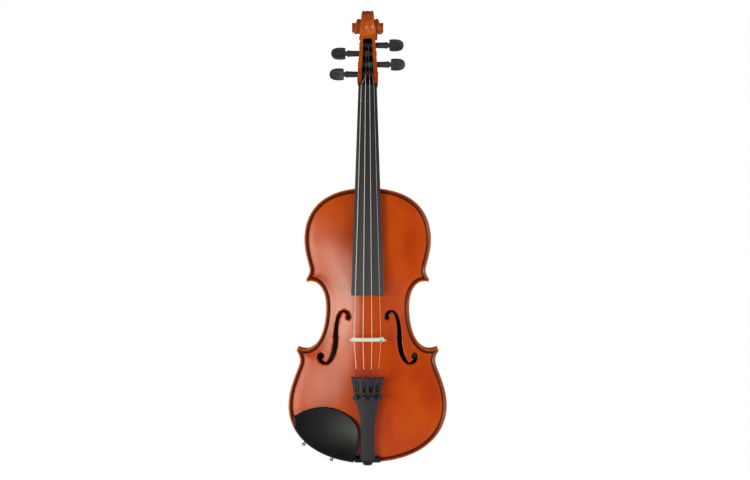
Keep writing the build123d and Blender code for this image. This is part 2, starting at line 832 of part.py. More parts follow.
def make_winding(name):
    """The turns of string on the peg, as one closed sleeve."""
    axis_x = winding_x[name] * -head_side[name]
    sleeve = Pos(0, 0, axis_x) * Cylinder(winding_radius(name), winding_length)
    core = Pos(0, 0, axis_x) * Cone(
        peg_radius(name, axis_x - winding_length), peg_radius(name, axis_x + winding_length),
        2 * winding_length)
    return peg_plane(name) * (sleeve - core)


def make_nut():
    """The nut: crowned like the board and falling away towards the pegbox."""
    half = board_nut_width / 2
    top = board_side + nut_lift
    crown = top + sagitta(half, board_radius)
    section = make_face([
        Line((-half, 0), (half, 0)),
        Line((half, 0), (half, top)),
        ThreePointArc((half, top), (0, crown), (-half, top)),
        Line((-half, top), (-half, 0)),
    ])
    block = extrude(cross_plane(neck_stop) * section, amount=-nut_length)
    fall = make_face([
        Line((neck_stop, crown + 3), (neck_stop, crown + 0.2)),
        Bezier((neck_stop, crown + 0.2), (neck_stop + 2.6, crown + 0.2),
               (neck_stop + nut_length - 0.3, crown - 2.2), (neck_stop + nut_length, 1.6)),
        Line((neck_stop + nut_length, 1.6), (neck_stop + nut_length + 2, crown + 3)),
        Line((neck_stop + nut_length + 2, crown + 3), (neck_stop, crown + 3)),
    ])
    return neck_plane * (block - extrude_side(fall, 60))


# ---------------------------------------------------------------- bridge
def make_bridge():
    """A maple bridge: two feet, an arched waist, a heart and two kidneys under a curved crown."""
    floor = belly_depth(0, bridge_tail_face)
    foot, wing, crown = bridge_foot_span / 2, bridge_wing_span / 2, bridge_top_span / 2

    def crown_at(x):
        return floor - bridge_top_y(x)

    low = -3.0
    half = [
        Line((foot - 10.5, low), (foot, low)),
        Line((foot, low), (foot, 0.6)),
        Bezier((foot, 0.6), (foot - 1, 2.4), (foot - 5, 3.4), (foot - 5.4, 6.0)),
        Bezier((foot - 5.4, 6.0), (foot - 5.6, 8.6), (foot - 4.6, 9.6), (foot - 3.6, 11.6)),
        Bezier((foot - 3.6, 11.6), (foot - 4.6, 14.2), (foot - 9, 12.6), (foot - 11.6, 14.6)),
        Bezier((foot - 11.6, 14.6), (foot - 12.6, 17.6), (foot - 8.6, 19.4), (foot - 5.4, 18.4)),
        Bezier((foot - 5.4, 18.4), (foot - 2.6, 17.6), (foot - 1.6, 15.2), (wing - 2.2, 15.4)),
        Bezier((wing - 2.2, 15.4), (wing + 0.3, 15.8), (wing, 19.0), (wing - 0.6, 20.4)),
    ]
    right = (Curve() + half).edges()
    left = [mirror(edge, about=Plane.YZ) for edge in right]
    top_right, top_left = (crown, crown_at(crown)), (-crown, crown_at(-crown))
    arch_half = foot - 10.5
    blank = make_face([
        *right, *left,
        Line((wing - 0.6, 20.4), top_right),
        ThreePointArc(top_right, (0, crown_at(0)), top_left),
        Line(top_left, (-wing + 0.6, 20.4)),
        Bezier((-arch_half, low), (-arch_half, 8.4), (-4.6, 8.8), (0, 8.8)),
        Bezier((0, 8.8), (4.6, 8.8), (arch_half, 8.4), (arch_half, low)),
    ])
    heart = both([
        Line((0, 14.6), (1.3, 15.6)),
        Bezier((1.3, 15.6), (1.6, 17.4), (4.6, 17.6), (4.4, 20.4)),
        Bezier((4.4, 20.4), (4.2, 23.0), (0.9, 23.6), (0, 21.2)),
    ])
    plate = extrude(Plane.XY.offset(bridge_tail_face) * (blank - heart), amount=bridge_foot_thickness)
    plate = Pos(0, floor, 0) * mirror(plate, about=Plane.XZ)
    lean = math.atan2(bridge_foot_thickness - bridge_top_thickness, bridge_height)
    cutter = Pos(0, floor, bridge_tail_face + bridge_foot_thickness) * Rot(-math.degrees(lean), 0, 0)
    plate -= cutter * Pos(0, -40, 20) * Box(80, 90, 40)
    return plate - belly_form


# ---------------------------------------------------------------- tailpiece and tuners
def tuner_place(name):
    """Frame of one tuner: local y along the tailpiece and local z out of its curved top."""
    tilt = slot_pitch * (string_order.index(name) - 1.5)
    return tail_plane * Pos(0, 0, -tail_radius) * Rot(0, tilt, 0) * Pos(0, 0, tail_radius)


def tail_outline():
    """Front view of the tailpiece: flared head, slender waist and rounded tail."""
    head, shoulder = tail_head_width / 2, tail_shoulder_width / 2
    waist, end = tail_waist_width / 2, tail_end_width / 2
    return both([
        Bezier((0, 0), (0.62 * end, 0), (end, 0.8), (end, 5)),
        Bezier((end, 5), (end - 0.7, 12), (waist, 20), (waist, tail_waist_at)),
        Bezier((waist, tail_waist_at), (waist, tail_waist_at + 23),
               (shoulder - 3, tail_shoulder_at - 10), (shoulder, tail_shoulder_at)),
        Line((shoulder, tail_shoulder_at), (head, tail_length)),
        Bezier((head, tail_length), (0.6 * head, tail_length + tail_head_bow),
               (0.3 * head, tail_length + tail_head_bow), (0, tail_length + tail_head_bow)),
    ])


def tail_drum(radius, length, start):
    """A cylinder under the crown of the tailpiece, along it."""
    return Pos(0, start + length / 2, -tail_radius) * Rot(90, 0, 0) * Cylinder(radius, length)


def local_box(x0, x1, y0, y1, z0, z1):
    return Pos((x0 + x1) / 2, (y0 + y1) / 2, (z0 + z1) / 2) * Box(x1 - x0, y1 - y0, z1 - z0)


def make_tailpiece():
    """A moulded shell with a string ridge, four slots, bearing cheeks and screw bosses."""
    prism = extrude(tail_outline(), amount=30, both=True)
    shell = prism & (tail_drum(tail_radius, tail_length + 2, -1)
                     - tail_drum(tail_radius - tail_wall, tail_length + 4, -2))
    ridge = prism & (tail_drum(tail_radius + 1.0, 1.8, tail_length - 1.8)
                     - tail_drum(tail_radius - 1.0, 1.8, tail_length - 1.8))
    block_depth = tailgut_depth + tailgut_diameter / 2 + 1.2
    tail_block = prism & tail_drum(tail_radius, 12, 0) & local_box(-20, 20, 0, 12, -block_depth, 2)
    piece = shell + ridge + tail_block
    for side in (-1, 1):
        piece -= Pos(side * tailgut_x, 6, -tailgut_depth) * Rot(90, 0, 0) * Cylinder(tailgut_diameter / 2, 20)
    piece = tail_plane * piece
    for name in string_order:
        place = tuner_place(name)
        cheeks = local_box(-slot_width / 2 - 1.2, slot_width / 2 + 1.2, tuner_pivot_at - 3,
                           tuner_pivot_at + 3, -tuner_pivot_depth - 2.2, -tail_wall + 0.8)
        boss = Pos(0, tuner_screw_at, -tail_wall - 0.4) * Cylinder(2.9, 2.4)
        piece += place * cheeks
        piece += place * boss
    for name in string_order:
        place = tuner_place(name)
        slot = Pos(0, slot_end - slot_length / 2) * SlotOverall(slot_length, slot_width, rotation=90)
        piece -= place * extrude(slot, amount=14, both=True)
        pin = Pos(0, tuner_pivot_at, -tuner_pivot_depth) * Rot(0, 90, 0)
        piece -= place * (pin * Cylinder(tuner_pin_diameter / 2, 40) & local_box(-4, 4, 0, 2 * tail_length, -20, 0))
        screw_hole = Cylinder(tuner_screw_diameter / 2 + fit_clearance, 20)
        piece -= place * (Pos(0, tuner_screw_at, 0) * screw_hole)
    return piece


def make_tuner(name):
    """One fine tuner: pin, lever with forked arm, ball end, screw and lobed knob."""
    place = tuner_place(name)
    pivot = Pos(0, tuner_pivot_at, -tuner_pivot_depth) * Rot(0, 90, 0)
    pin = pivot * Cylinder(tuner_pin_diameter / 2, slot_width + 2.2)
    half = lever_width / 2
    screw_tip = -tail_wall - 2.6
    arm_top = screw_tip - soft_gap
    side = make_face([
        Line((tuner_screw_at - 1.6, arm_top), (tuner_pivot_at - 3.2, arm_top)),
        Bezier((tuner_pivot_at - 3.2, arm_top), (tuner_pivot_at - 1, arm_top),
               (tuner_pivot_at + 1.9, arm_top + 1), (tuner_pivot_at + 1.7, -2.6)),
        Line((tuner_pivot_at + 1.7, -2.6), (tuner_pivot_at + 1.7, 0.4)),
        Line((tuner_pivot_at + 1.7, 0.4), (tuner_pivot_at + 3.1, 0.4)),
        Line((tuner_pivot_at + 3.1, 0.4), (tuner_pivot_at + 3.1, -tuner_pivot_depth)),
        Bezier((tuner_pivot_at + 3.1, -tuner_pivot_depth), (tuner_pivot_at + 2.6, -tuner_pivot_depth - 2),
               (tuner_pivot_at + 1.4, -tuner_pivot_depth - 2.2), (tuner_pivot_at, -tuner_pivot_depth - 2.2)),
        Line((tuner_pivot_at, -tuner_pivot_depth - 2.2), (tuner_screw_at - 1.6, arm_top - 1.8)),
        Line((tuner_screw_at - 1.6, arm_top - 1.8), (tuner_screw_at - 1.6, arm_top)),
    ])
    lever = extrude_side(side, lever_width)
    lever -= pivot * Cylinder(tuner_pin_diameter / 2 + fit_clearance, 20)
    lever -= local_box(-0.6, 0.6, tuner_pivot_at + 1, tuner_pivot_at + 4, -3.4, 2)
    ball = Pos(0, tuner_pivot_at + 1.7 - ball_diameter / 2, -0.9) * Rot(0, 90, 0)
    ball = ball * Cylinder(ball_diameter / 2, lever_width)
    knob_low = 1.0 + tuner_travel
    screw = Pos(0, tuner_screw_at, (knob_low + 3 + screw_tip) / 2) * Cylinder(
        tuner_screw_diameter / 2, knob_low + 3 - screw_tip)
    lobes = Circle(tuner_knob_diameter / 2)
    for index in range(tuner_lobes):
        spot = Rot(0, 0, 360 * index / tuner_lobes) * Pos(tuner_knob_diameter / 2 + 0.35, 0)
        lobes -= spot * Circle(0.75)
    knob = Pos(0, tuner_screw_at, knob_low) * extrude(lobes, amount=tuner_knob_height)
    knob -= Pos(0, tuner_screw_at, knob_low + 1.5) * Cylinder(
        tuner_screw_diameter / 2 + fit_clearance, 3.2)
    return {
        "pin": place * pin,
        "lever": place * lever,
        "ball": place * ball,
        "screw": place * screw,
        "knob": place * knob,
    }


# ---------------------------------------------------------------- saddle, end button, tailgut
button_y = rib_height / 2


def make_end_button():
    """A turned button whose tapered shaft sits in the end block."""
    seat = edge_overhang
    shaft, neck = button_shaft_diameter / 2, button_neck_diameter / 2
    collar = button_diameter / 2
    profile = make_face(Polyline(
        (0, seat + 14), (shaft - 0.4, seat + 14), (shaft, seat), (collar - 0.4, seat),
        (collar - 0.4, 0.8), (neck, 0.5), (neck, -2.9), (collar, -3.1), (collar - 0.3, -4.4),
        (4.6, -5.8), (0, -5.8), close=True))
    return Pos(0, button_y, 0) * revolve(Plane.XZ * profile, axis=Axis.Z)


def make_tailgut():
    """A cord from the tailpiece over the saddle, round the button and back."""
    radius = tailgut_diameter / 2
    reach = button_neck_diameter / 2 + radius + 0.1
    drop = -radius - 0.5
    over = belly_edge_y - saddle_height - 0.75 * radius
    inside = (tail_plane * Pos(0, 8, -tailgut_depth)).position
    exit_hole = (tail_plane * Pos(0, -1.5, -tailgut_depth)).position
    points = []
    for side in (-1, 1):
        leg = [(side * tailgut_x, inside.Y, inside.Z), (side * tailgut_x, exit_hole.Y, exit_hole.Z),
               (side * tailgut_x, over, drop), (side * reach, button_y + reach, drop)]
        points += leg if side < 0 else leg[::-1]
    return tube(points, [2.0, 2.6, reach - 0.05, reach - 0.05, 2.6, 2.0], radius)


# ---------------------------------------------------------------- chin rest and clamp
def chin_area():
    """Front view of the chin rest: its outer edge follows the lower bass bout."""
    upper = make_face([
        Line((-18.8, -12), (-18.8, 0.6)),
        Bezier((-18.8, 0.6), (-14.2, 14), (-5.8, 37), (-14.6, 51.2)),
        Bezier((-14.6, 51.2), (-21.9, 62.5), (-40, 72.4), (-56.4, 72.4)),
        Bezier((-56.4, 72.4), (-72, 72.4), (-84, 67.5), (-94.6, 61.0)),
        Line((-94.6, 61.0), (-96.2, 57.4)),
        Line((-96.2, 57.4), (-95.4, 45.0)),
        Line((-95.4, 45.0), (-112, 30)),
        Line((-112, 30), (-112, -12)),
        Line((-112, -12), (-18.8, -12)),
    ])
    return upper & inset(chin_inset)


def chin_bowl(x, z):
    """Depth of the hollow that takes the chin."""
    spread = (x - chin_bowl_x) ** 2 + ((z - chin_bowl_at) / 0.9) ** 2
    return belly_edge_y - cork_thickness - chin_bowl_floor - chin_bowl_curve * spread


def clamp_frames():
    """Frames of the two clamp barrels, beside the lower bass bout: local x points out of the body."""
    curve = outline_curves()[0]
    frames = []
    for share in clamp_shares:
        spot, run = curve @ share, curve % share
        out = Vector(-run.Y, 0, -run.X)
        centre = Vector(-spot.X, 0, spot.Y) + out * clamp_offset
        frames.append(Plane(origin=centre, x_dir=out, z_dir=(0, 1, 0)))
    return frames


def clamp_wire(frame, end, turn, reach):
    """A threaded rod standing in a barrel, bent inwards over the edge of a plate."""
    points = [Vector(0, 0, end), Vector(0, 0, turn), Vector(-reach, 0, turn)]
    return frame * tube(points, [clamp_bend], clamp_rod_diameter / 2)


def make_barrel(frame):
    """A turnbuckle barrel, bored for two rods and cross-drilled for its key."""
    radius = barrel_diameter / 2
    barrel = Cylinder(radius, barrel_length)
    barrel = chamfer(barrel.edges(), 0.4)
    barrel -= Cylinder(clamp_rod_diameter / 2 + fit_clearance, 2 * barrel_length)
    barrel -= Rot(0, 90, 0) * Cylinder(key_hole_diameter / 2, 2 * barrel_diameter)
    return frame * Pos(0, 0, rib_height / 2) * barrel


def make_clamp_foot(frames):
    """The bracket under the edge of the back: two bent rods and the plate that joins them."""
    base = back_edge_y + cork_thickness
    strip = band(2.0, 2.0 + clamp_foot_width) & clamp_window(frames, 3)
    foot = frontal(strip, base, base + clamp_foot_thickness)
    turn = base + clamp_foot_thickness / 2 + 0.2
    for frame in frames:
        foot += clamp_wire(frame, rib_height / 2 + rod_gap / 2, turn, clamp_offset + 8)
    return foot


def clamp_window(frames, spread):
    """The stretch of the lower bass bout between the two barrels, as a face in (X, Z)."""
    left, right = frames[1].origin.X, frames[0].origin.X
    low, high = min(left, right) - spread, max(left, right) + spread
    return Pos((low + high) / 2, lower_bout_at / 2) * Rectangle(high - low, 1.6 * lower_bout_at)


def make_chin_rest():
    """A dished plate on cork, with the rods of its clamp standing below its outer edge."""
    area = chin_area()
    base = belly_edge_y - cork_thickness
    bowl = arched_form(chin_bowl, 1)
    under = arched_form(lambda x, z: chin_bowl(x, z) + chin_wall, 1)
    blank = frontal(area, -45, base)
    plate = blank & bowl
    strip = area & band(chin_inset, chin_band)
    hollow = frontal(area - strip, -45, base + 1) & under
    return plate - hollow - Pos(0, -soft_gap, 0) * belly_form


def chin_cork():
    strip = chin_area() & band(2.0, 14.0)
    window = Pos(-55, 30) * Rectangle(66, 70)
    return frontal(strip & window, belly_edge_y - cork_thickness, 0) - belly_form


# ---------------------------------------------------------------- assembly
def build_parts():
    neck, neck_root = make_neck()
    saddle = saddle_block()
    belly, belly_inlay = make_belly(neck_root, saddle)
    back, back_inlay = make_back()
    ribs = make_ribs()
    end_button = make_end_button()
    tailgut = make_tailgut()
    bridge = make_bridge()
    nut = make_nut()
    tailpiece = make_tailpiece()
    frames = clamp_frames()
    hooks = [
        clamp_wire(frame, (rib_height - rod_gap) / 2, belly_edge_y - cork_thickness - 1.8, clamp_offset + 9)
        for frame in frames
    ]
    back_base = back_edge_y + cork_thickness
    foot_strip = band(2.0, 2.0 + clamp_foot_width) & clamp_window(frames, 0)
    clamp_foot = make_clamp_foot(frames)
    foot_cork = frontal(foot_strip, rib_height, back_base) - Pos(0, soft_gap, 0) * back_form - clamp_foot
    parts = {
        "belly": belly,
        "belly_purfling": belly_inlay,
        "back": back,
        "back_purfling": back_inlay,
        "upper_ribs": [strip - neck_root for strip in ribs["upper_ribs"]],
        "middle_ribs": ribs["middle_ribs"],
        "lower_ribs": [strip - end_button for strip in ribs["lower_ribs"]],
        "neck_block": frontal(neck_print, 0, rib_height) - neck_root,
        "end_block": frontal(end_print, 0, rib_height) - end_button,
        "corner_blocks": [frontal(face, 0, rib_height) for face in corner_prints],
        "belly_linings": make_linings(0, lining_height),
        "back_linings": make_linings(rib_height - lining_height, rib_height),
        "bass_bar": make_bass_bar(),
        "sound_post": make_sound_post(),
        "neck": neck,
        "fingerboard": make_fingerboard(),
        "saddle": saddle - tailgut,
        "end_button": end_button,
        "tailgut": tailgut,
        "chin_rest": make_chin_rest() - hooks,
        "chin_rest_cork": chin_cork(),
        "chin_rest_hooks": hooks,
        "clamp_barrel_inner": make_barrel(frames[0]),
        "clamp_barrel_outer": make_barrel(frames[1]),
        "clamp_foot": clamp_foot,
        "clamp_cork": foot_cork,
    }
    sleeve = make_sleeve()
    bridge -= sleeve
    pins = []
    for name in string_order:
        string = make_string(name)
        nut -= string
        bridge -= string
        tailpiece -= string
        parts["string_" + name] = string
        parts["peg_" + name] = make_peg(name)
        parts["winding_" + name] = make_winding(name)
        tuner = make_tuner(name)
        pins.append(tuner["pin"])
        for piece in ("lever", "screw", "knob"):
            parts["tuner_" + piece + "_" + name] = tuner[piece]
        parts["ball_end_" + name] = tuner["ball"]
    parts["string_sleeve_e"] = sleeve - parts["string_e"]
    parts["nut"] = nut
    parts["bridge"] = bridge
    parts["tailpiece"] = tailpiece
    parts["tuner_pins"] = pins
    return parts


hanger = (neck_plane * Pos(0, scroll_at, -scroll_depth)).position - Vector(0, 0, ear_radius)

for part_name, shape in build_parts().items():
    solids = shape if isinstance(shape, list) else [shape]
    flat = [solid for piece in solids for solid in piece.solids()]
    placed = [Pos(-hanger.X, -hanger.Y, -hanger.Z) * solid for solid in flat]
    node = Compound(children=placed)
    export_step(node, os.path.join("parts", part_name + ".step"))
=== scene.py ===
# %% [markdown]
# # A full-size violin
#
# A violin is a thin wooden box under the pull of four strings. The carved plates with
# their purfling, the silk on the strings, the bridge, the fine tuner screws and the chin
# rest are made here as surfaces worked out with numpy. The other parts keep the meshes
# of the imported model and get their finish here.

import math

import bmesh
import bpy
import numpy as np
from mathutils import Euler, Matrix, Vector
from mathutils.geometry import delaunay_2d_cdt


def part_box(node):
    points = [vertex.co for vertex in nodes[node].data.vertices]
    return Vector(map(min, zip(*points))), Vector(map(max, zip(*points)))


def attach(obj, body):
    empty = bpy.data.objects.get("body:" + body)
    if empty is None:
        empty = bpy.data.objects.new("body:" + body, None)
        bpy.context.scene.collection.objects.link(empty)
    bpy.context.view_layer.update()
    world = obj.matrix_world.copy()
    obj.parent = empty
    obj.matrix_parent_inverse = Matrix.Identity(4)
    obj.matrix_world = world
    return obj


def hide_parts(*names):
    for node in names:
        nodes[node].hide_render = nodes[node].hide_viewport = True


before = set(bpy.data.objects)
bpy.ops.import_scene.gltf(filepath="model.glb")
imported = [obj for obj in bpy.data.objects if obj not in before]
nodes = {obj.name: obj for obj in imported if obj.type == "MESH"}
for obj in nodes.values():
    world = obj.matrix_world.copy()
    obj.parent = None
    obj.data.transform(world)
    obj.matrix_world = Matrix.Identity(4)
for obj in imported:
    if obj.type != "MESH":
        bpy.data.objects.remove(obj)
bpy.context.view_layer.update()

# %% [markdown]
# ## Measures
#
# A violin maker works from the lower edge of the plates and from the plane where the
# ribs meet the belly. Shapes below are written in those bench millimetres: X to the
# treble side, Y from the front to the back, Z up. One function carries them into the
# frame, whose origin is where the violin hangs under the ears of its scroll.

# %% From bench millimetres to the frame
joint_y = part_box("belly")[1].y
lower_edge_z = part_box("back")[0].z
bench_origin = np.array([0.0, joint_y, lower_edge_z])


def placed(points):
    """Bench millimetres, divided by a thousand and moved to the bench origin, in metres."""
    return np.asarray(points, float) / 1000 + bench_origin


def smooth_step(share):
    """Runs from 0 to 1 with no slope at either end: 3 t^2 - 2 t^3."""
    t = np.clip(share, 0, 1)
    return t * t * (3 - 2 * t)


print("bench origin in the frame:", bench_origin.round(4))

# %% [markdown]
# ## Helpers for meshes
#
# Every new piece is a list of points and faces. One helper turns them into an object,
# shades it smooth, lets it ride on its body and hides the imported nodes it stands for.

# %% Turn points and faces into a piece
def make_piece(name, points, faces, material, body="violin", stands_for=()):
    """A mesh object at the origin, with its place in its points, in frame metres."""
    mesh = bpy.data.meshes.new(name)
    mesh.from_pydata(np.asarray(points).tolist(), [], [list(map(int, face)) for face in faces])
    mesh.polygons.foreach_set("use_smooth", [True] * len(mesh.polygons))
    mesh.update()
    piece = bpy.data.objects.new(name, mesh)
    bpy.context.scene.collection.objects.link(piece)
    piece.data.materials.append(material)
    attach(piece, body)
    if stands_for:
        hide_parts(*stands_for)
    print(name, len(mesh.polygons), "faces")
    return piece


def grid_faces(rows, columns, close_rows=False, close_columns=False):
    """Quads of a grid of rows x columns points, wrapped round where it closes on itself."""
    down = np.arange(rows if close_rows else rows - 1)
    along = np.arange(columns if close_columns else columns - 1)
    row, column = np.meshgrid(down, along, indexing="ij")
    next_row, next_column = (row + 1) % rows, (column + 1) % columns
    corners = [row * columns + column, row * columns + next_column,
               next_row * columns + next_column, next_row * columns + column]
    return np.stack(corners, -1).reshape(-1, 4)


def add_numbers(piece, name, values):
    """Store one number for each point, for a material to read by name."""
    stored = piece.data.attributes.new(name, "FLOAT", "POINT")
    stored.data.foreach_set("value", np.asarray(values, np.float32))


# %% [markdown]
# ## Camera
#
# A long lens far away keeps the body's outline true, with almost no perspective.

# %% Place the camera
view_distance, view_height = 2.5, 0.2885
frame_width, sideways = 0.9727, 0.0096
belly_edge_plane = joint_y - 0.004  # the belly is 4 mm thick at its edge

camera_data = bpy.data.cameras.new("camera")
camera_data.sensor_width = 36.0
camera_data.lens = camera_data.sensor_width * view_distance / frame_width
camera_data.clip_end = 50.0
camera = bpy.data.objects.new("camera", camera_data)
camera.location = (sideways, belly_edge_plane - view_distance, lower_edge_z + view_height)
camera.rotation_euler = (math.pi / 2, 0, 0)
bpy.context.scene.collection.objects.link(camera)
bpy.context.scene.camera = camera
bpy.context.scene.view_settings.view_transform = "Standard"
print("lens:", round(camera_data.lens, 1), "mm")

# %% [markdown]
# ## Helpers for materials
#
# A finish is a small network of shader nodes. Colours are written as the usual sRGB
# hex values and turned into the linear numbers that the renderer works with. Patterns
# are sized by the millimetre on each axis, in the object's own coordinates.

# %% Colours and nodes
def hex_colour(text):
    """sRGB hex to linear RGBA: divide by 12.92 in the dark, else the 2.4 power curve."""
    parts = [int(text[place:place + 2], 16) / 255 for place in (1, 3, 5)]
    linear = [part / 12.92 if part <= 0.04045 else ((part + 0.055) / 1.055) ** 2.4 for part in parts]
    return (*linear, 1.0)


def add_node(material, kind, inputs=None, **settings):
    """Add a shader node, set its properties, and fill its sockets from values or links."""
    tree = material.node_tree
    made = tree.nodes.new("ShaderNode" + kind)
    for name, value in settings.items():
        setattr(made, name, value)
    for socket, value in (inputs or {}).items():
        if isinstance(value, bpy.types.NodeSocket):
            tree.links.new(value, made.inputs[socket])
        else:
            made.inputs[socket].default_value = value
    return made


def new_material(name):
    """An empty node material, with its Principled shader joined to the output."""
    material = bpy.data.materials.new(name)
    material.use_nodes = True
    material.node_tree.nodes.clear()
    shader = add_node(material, "BsdfPrincipled")
    add_node(material, "OutputMaterial", {"Surface": shader.outputs[0]})
    return material, shader


def feed(material, shader, **sockets):
    """Fill the shader's sockets by name; an underscore stands for a space."""
    for name, value in sockets.items():
        target = shader.inputs[name.replace("_", " ")]
        if isinstance(value, bpy.types.NodeSocket):
            material.node_tree.links.new(value, target)
        else:
            target.default_value = value


def stretched(material, *sizes):
    """Object coordinates divided on each axis by a size in millimetres, to size a pattern."""
    place = add_node(material, "TexCoord")
    return add_node(material, "Mapping", {"Vector": place.outputs["Object"],
                                          "Scale": [1000 / size for size in sizes]}).outputs[0]


def ramp(material, factor, stops):
    """A colour ramp through (place, hex colour) stops."""
    made = add_node(material, "ValToRGB", {"Fac": factor})
    keys = made.color_ramp.elements
    while len(keys) < len(stops):
        keys.new(0.5)
    for key, (place, colour) in zip(keys, stops):
        key.position = place
        key.color = hex_colour(colour)
    return made.outputs[0]


def blended(material, factor, first, second, how="MIX"):
    """Two colours mixed; each may be a hex colour or another node's output."""
    made = add_node(material, "Mix", {"Factor": factor}, data_type="RGBA", blend_type=how)
    for socket, value in ((6, first), (7, second)):
        if isinstance(value, str):
            made.inputs[socket].default_value = hex_colour(value)
        else:
            material.node_tree.links.new(value, made.inputs[socket])
    return made.outputs[2]


def bumps(material, height, distance_mm, strength):
    """A bump whose full height is given in millimetres."""
    return add_node(material, "Bump", {"Height": height, "Distance": distance_mm / 1000,
                                       "Strength": strength}).outputs[0]


# %% [markdown]
# ## Varnished wood
#
# The belly is spruce and the rest of the box is maple, both under an orange spirit
# varnish. Spruce shows fine straight year lines about a millimetre apart. Maple is
# plainer, with a faint flame across it. Varnish gathers in hollows, so the channel
# near the edge is browner; it is painted darker still, as painted shade on the
# channel's slopes. Hands wear the varnish thin on the rounded edge, which is painted
# lighter, partly for the thinner varnish and partly as a painted highlight where the
# edge catches light. The carved plates store how much of each there is at every point.
# The gloss is a coat over a softer layer.

# %% Spruce and maple under orange varnish
def varnished_wood(name, light, middle, dark, line_gap, line_strength, flame_gap=0.0, pegbox=False):
    """Wood under varnish: year lines along Z, slow blotches, and an optional flame across."""
    material, shader = new_material(name)
    lines = add_node(material, "TexNoise", {
        "Vector": stretched(material, line_gap, line_gap, 120), "Scale": 1.0, "Detail": 3.0,
        "Roughness": 0.62})
    blotch = add_node(material, "TexNoise", {
        "Vector": stretched(material, 38, 38, 70), "Scale": 1.0, "Detail": 2.0})
    tone = ramp(material, blotch.outputs["Fac"], [(0.32, dark), (0.5, middle), (0.68, light)])
    line_tone = ramp(material, lines.outputs["Fac"], [(0.36, "#8A8A8A"), (0.58, "#FFFFFF")])
    colour = blended(material, line_strength, tone, line_tone, "MULTIPLY")
    if flame_gap:
        flame = add_node(material, "TexNoise", {
            "Vector": stretched(material, 28, 28, flame_gap), "Scale": 1.0, "Detail": 2.0,
            "Distortion": 0.5})
        flame_tone = ramp(material, flame.outputs["Fac"], [(0.36, "#A8A8A8"), (0.62, "#FFFFFF")])
        colour = blended(material, 0.42, colour, flame_tone, "MULTIPLY")
    # The hollow tint is partly varnish gathered in the channel and partly painted shade; the rim tint
    # is partly thin varnish and partly a painted highlight.
    for stored, tint in (("rim", "#DC7E26"), ("hollow", "#460A00"), ("bare", "#7C6E56")):
        share = add_node(material, "Attribute", attribute_name=stored)
        colour = blended(material, share.outputs["Fac"], colour, tint)
    if pegbox:
        colour = blended(material, pegbox_inside(material), colour, "#0B0605")
    feed(material, shader, Base_Color=colour, Roughness=0.5, Specular_IOR_Level=0.04,
         Coat_Weight=0.8, Coat_Roughness=0.24,
         Normal=bumps(material, lines.outputs["Fac"], 0.02, 0.3))
    return material


def pegbox_inside(material):
    """1 in a box round the pegbox's black hollow: three checks of a coordinate, multiplied.

    The box is deeper than the hollow, so it also takes in a patch of the
    outside, low on the back of the pegbox.
    """
    place = add_node(material, "TexCoord")
    level = add_node(material, "Mapping", {
        "Vector": place.outputs["Object"], "Rotation": (neck_lean, 0, 0)})
    along = add_node(material, "SeparateXYZ", {0: level.outputs[0]})
    half_width = add_node(material, "MapRange", {
        "Value": along.outputs["Z"], "From Min": pegbox_low, "From Max": pegbox_high,
        "To Min": pegbox_half_low, "To Max": pegbox_half_high})
    within = 1.0
    for axis, middle, reach in (
            ("X", 0.0, half_width.outputs[0]),
            ("Z", (pegbox_high + pegbox_low) / 2, (pegbox_high - pegbox_low) / 2),
            ("Y", pegbox_front + pegbox_depth / 2, pegbox_depth / 2)):
        check = add_node(material, "Math", {0: along.outputs[axis], 1: middle, 2: reach},
                         operation="COMPARE")
        within = add_node(material, "Math", {0: within, 1: check.outputs[0]},
                          operation="MULTIPLY").outputs[0]
    return within


# The neck leans back from its root, at the top of the body.
neck_lean = math.radians(6.05)
neck_root = Vector(placed((0, -10, 356)))
neck_root.rotate(Euler((neck_lean, 0, 0)))
pegbox_low, pegbox_high = neck_root.z + 0.1372, neck_root.z + 0.1992
pegbox_front, pegbox_depth = neck_root.y - 0.006, 0.0335
pegbox_half_low, pegbox_half_high = 0.0079, 0.0058

varnished_spruce = varnished_wood("varnished spruce", "#D65202", "#CE4901", "#C23D00", 1.1, 0.12)
varnished_maple = varnished_wood("varnished maple", "#D4641A", "#C6530F", "#B2440A", 0.8, 0.12,
                                 flame_gap=5.5, pegbox=True)


# %% Bare wood inside the box and on the bridge
def bare_wood(name, light, dark, line_gap, roughness):
    """Unvarnished wood: year lines along Z between two tones, with a dry surface."""
    material, shader = new_material(name)
    lines = add_node(material, "TexNoise", {
        "Vector": stretched(material, line_gap, line_gap, 25), "Scale": 1.0, "Detail": 4.0,
        "Roughness": 0.6})
    tone = ramp(material, lines.outputs["Fac"], [(0.35, dark), (0.65, light)])
    feed(material, shader, Base_Color=tone, Roughness=roughness, Specular_IOR_Level=0.2,
         Normal=bumps(material, lines.outputs["Fac"], 0.03, 0.5))
    return material


bare_spruce = bare_wood("bare spruce", "#E2C48E", "#C79F62", 1.2, 0.75)
bridge_maple = bare_wood("bridge maple", "#F7F0E4", "#ECDFCB", 0.6, 0.6)
purfling_wood = bare_wood("dyed purfling", "#220E06", "#120604", 0.5, 0.5)


# %% [markdown]
# ## Black fittings, metal, silk and cork
#
# The fingerboard is dyed hardwood, wiped with oil, and it is painted paler towards its
# lower end as a painted sheen. The pegs, the tailpiece and the chin rest are moulded
# plastic with a fine spark-eroded grain. A grain too fine to be seen from this far is
# drawn a little coarser than life. The strings are given a darker tone above the nut,
# a painted shade where they dip into the pegbox.

# %% Satin blacks
def share_of_height(material, low, high):
    """0 below the height low, 1 above the height high, and a straight slope between."""
    place = add_node(material, "TexCoord")
    height = add_node(material, "SeparateXYZ", {0: place.outputs["Object"]})
    return add_node(material, "MapRange", {"Value": height.outputs["Z"], "From Min": low,
                                           "From Max": high}).outputs[0]


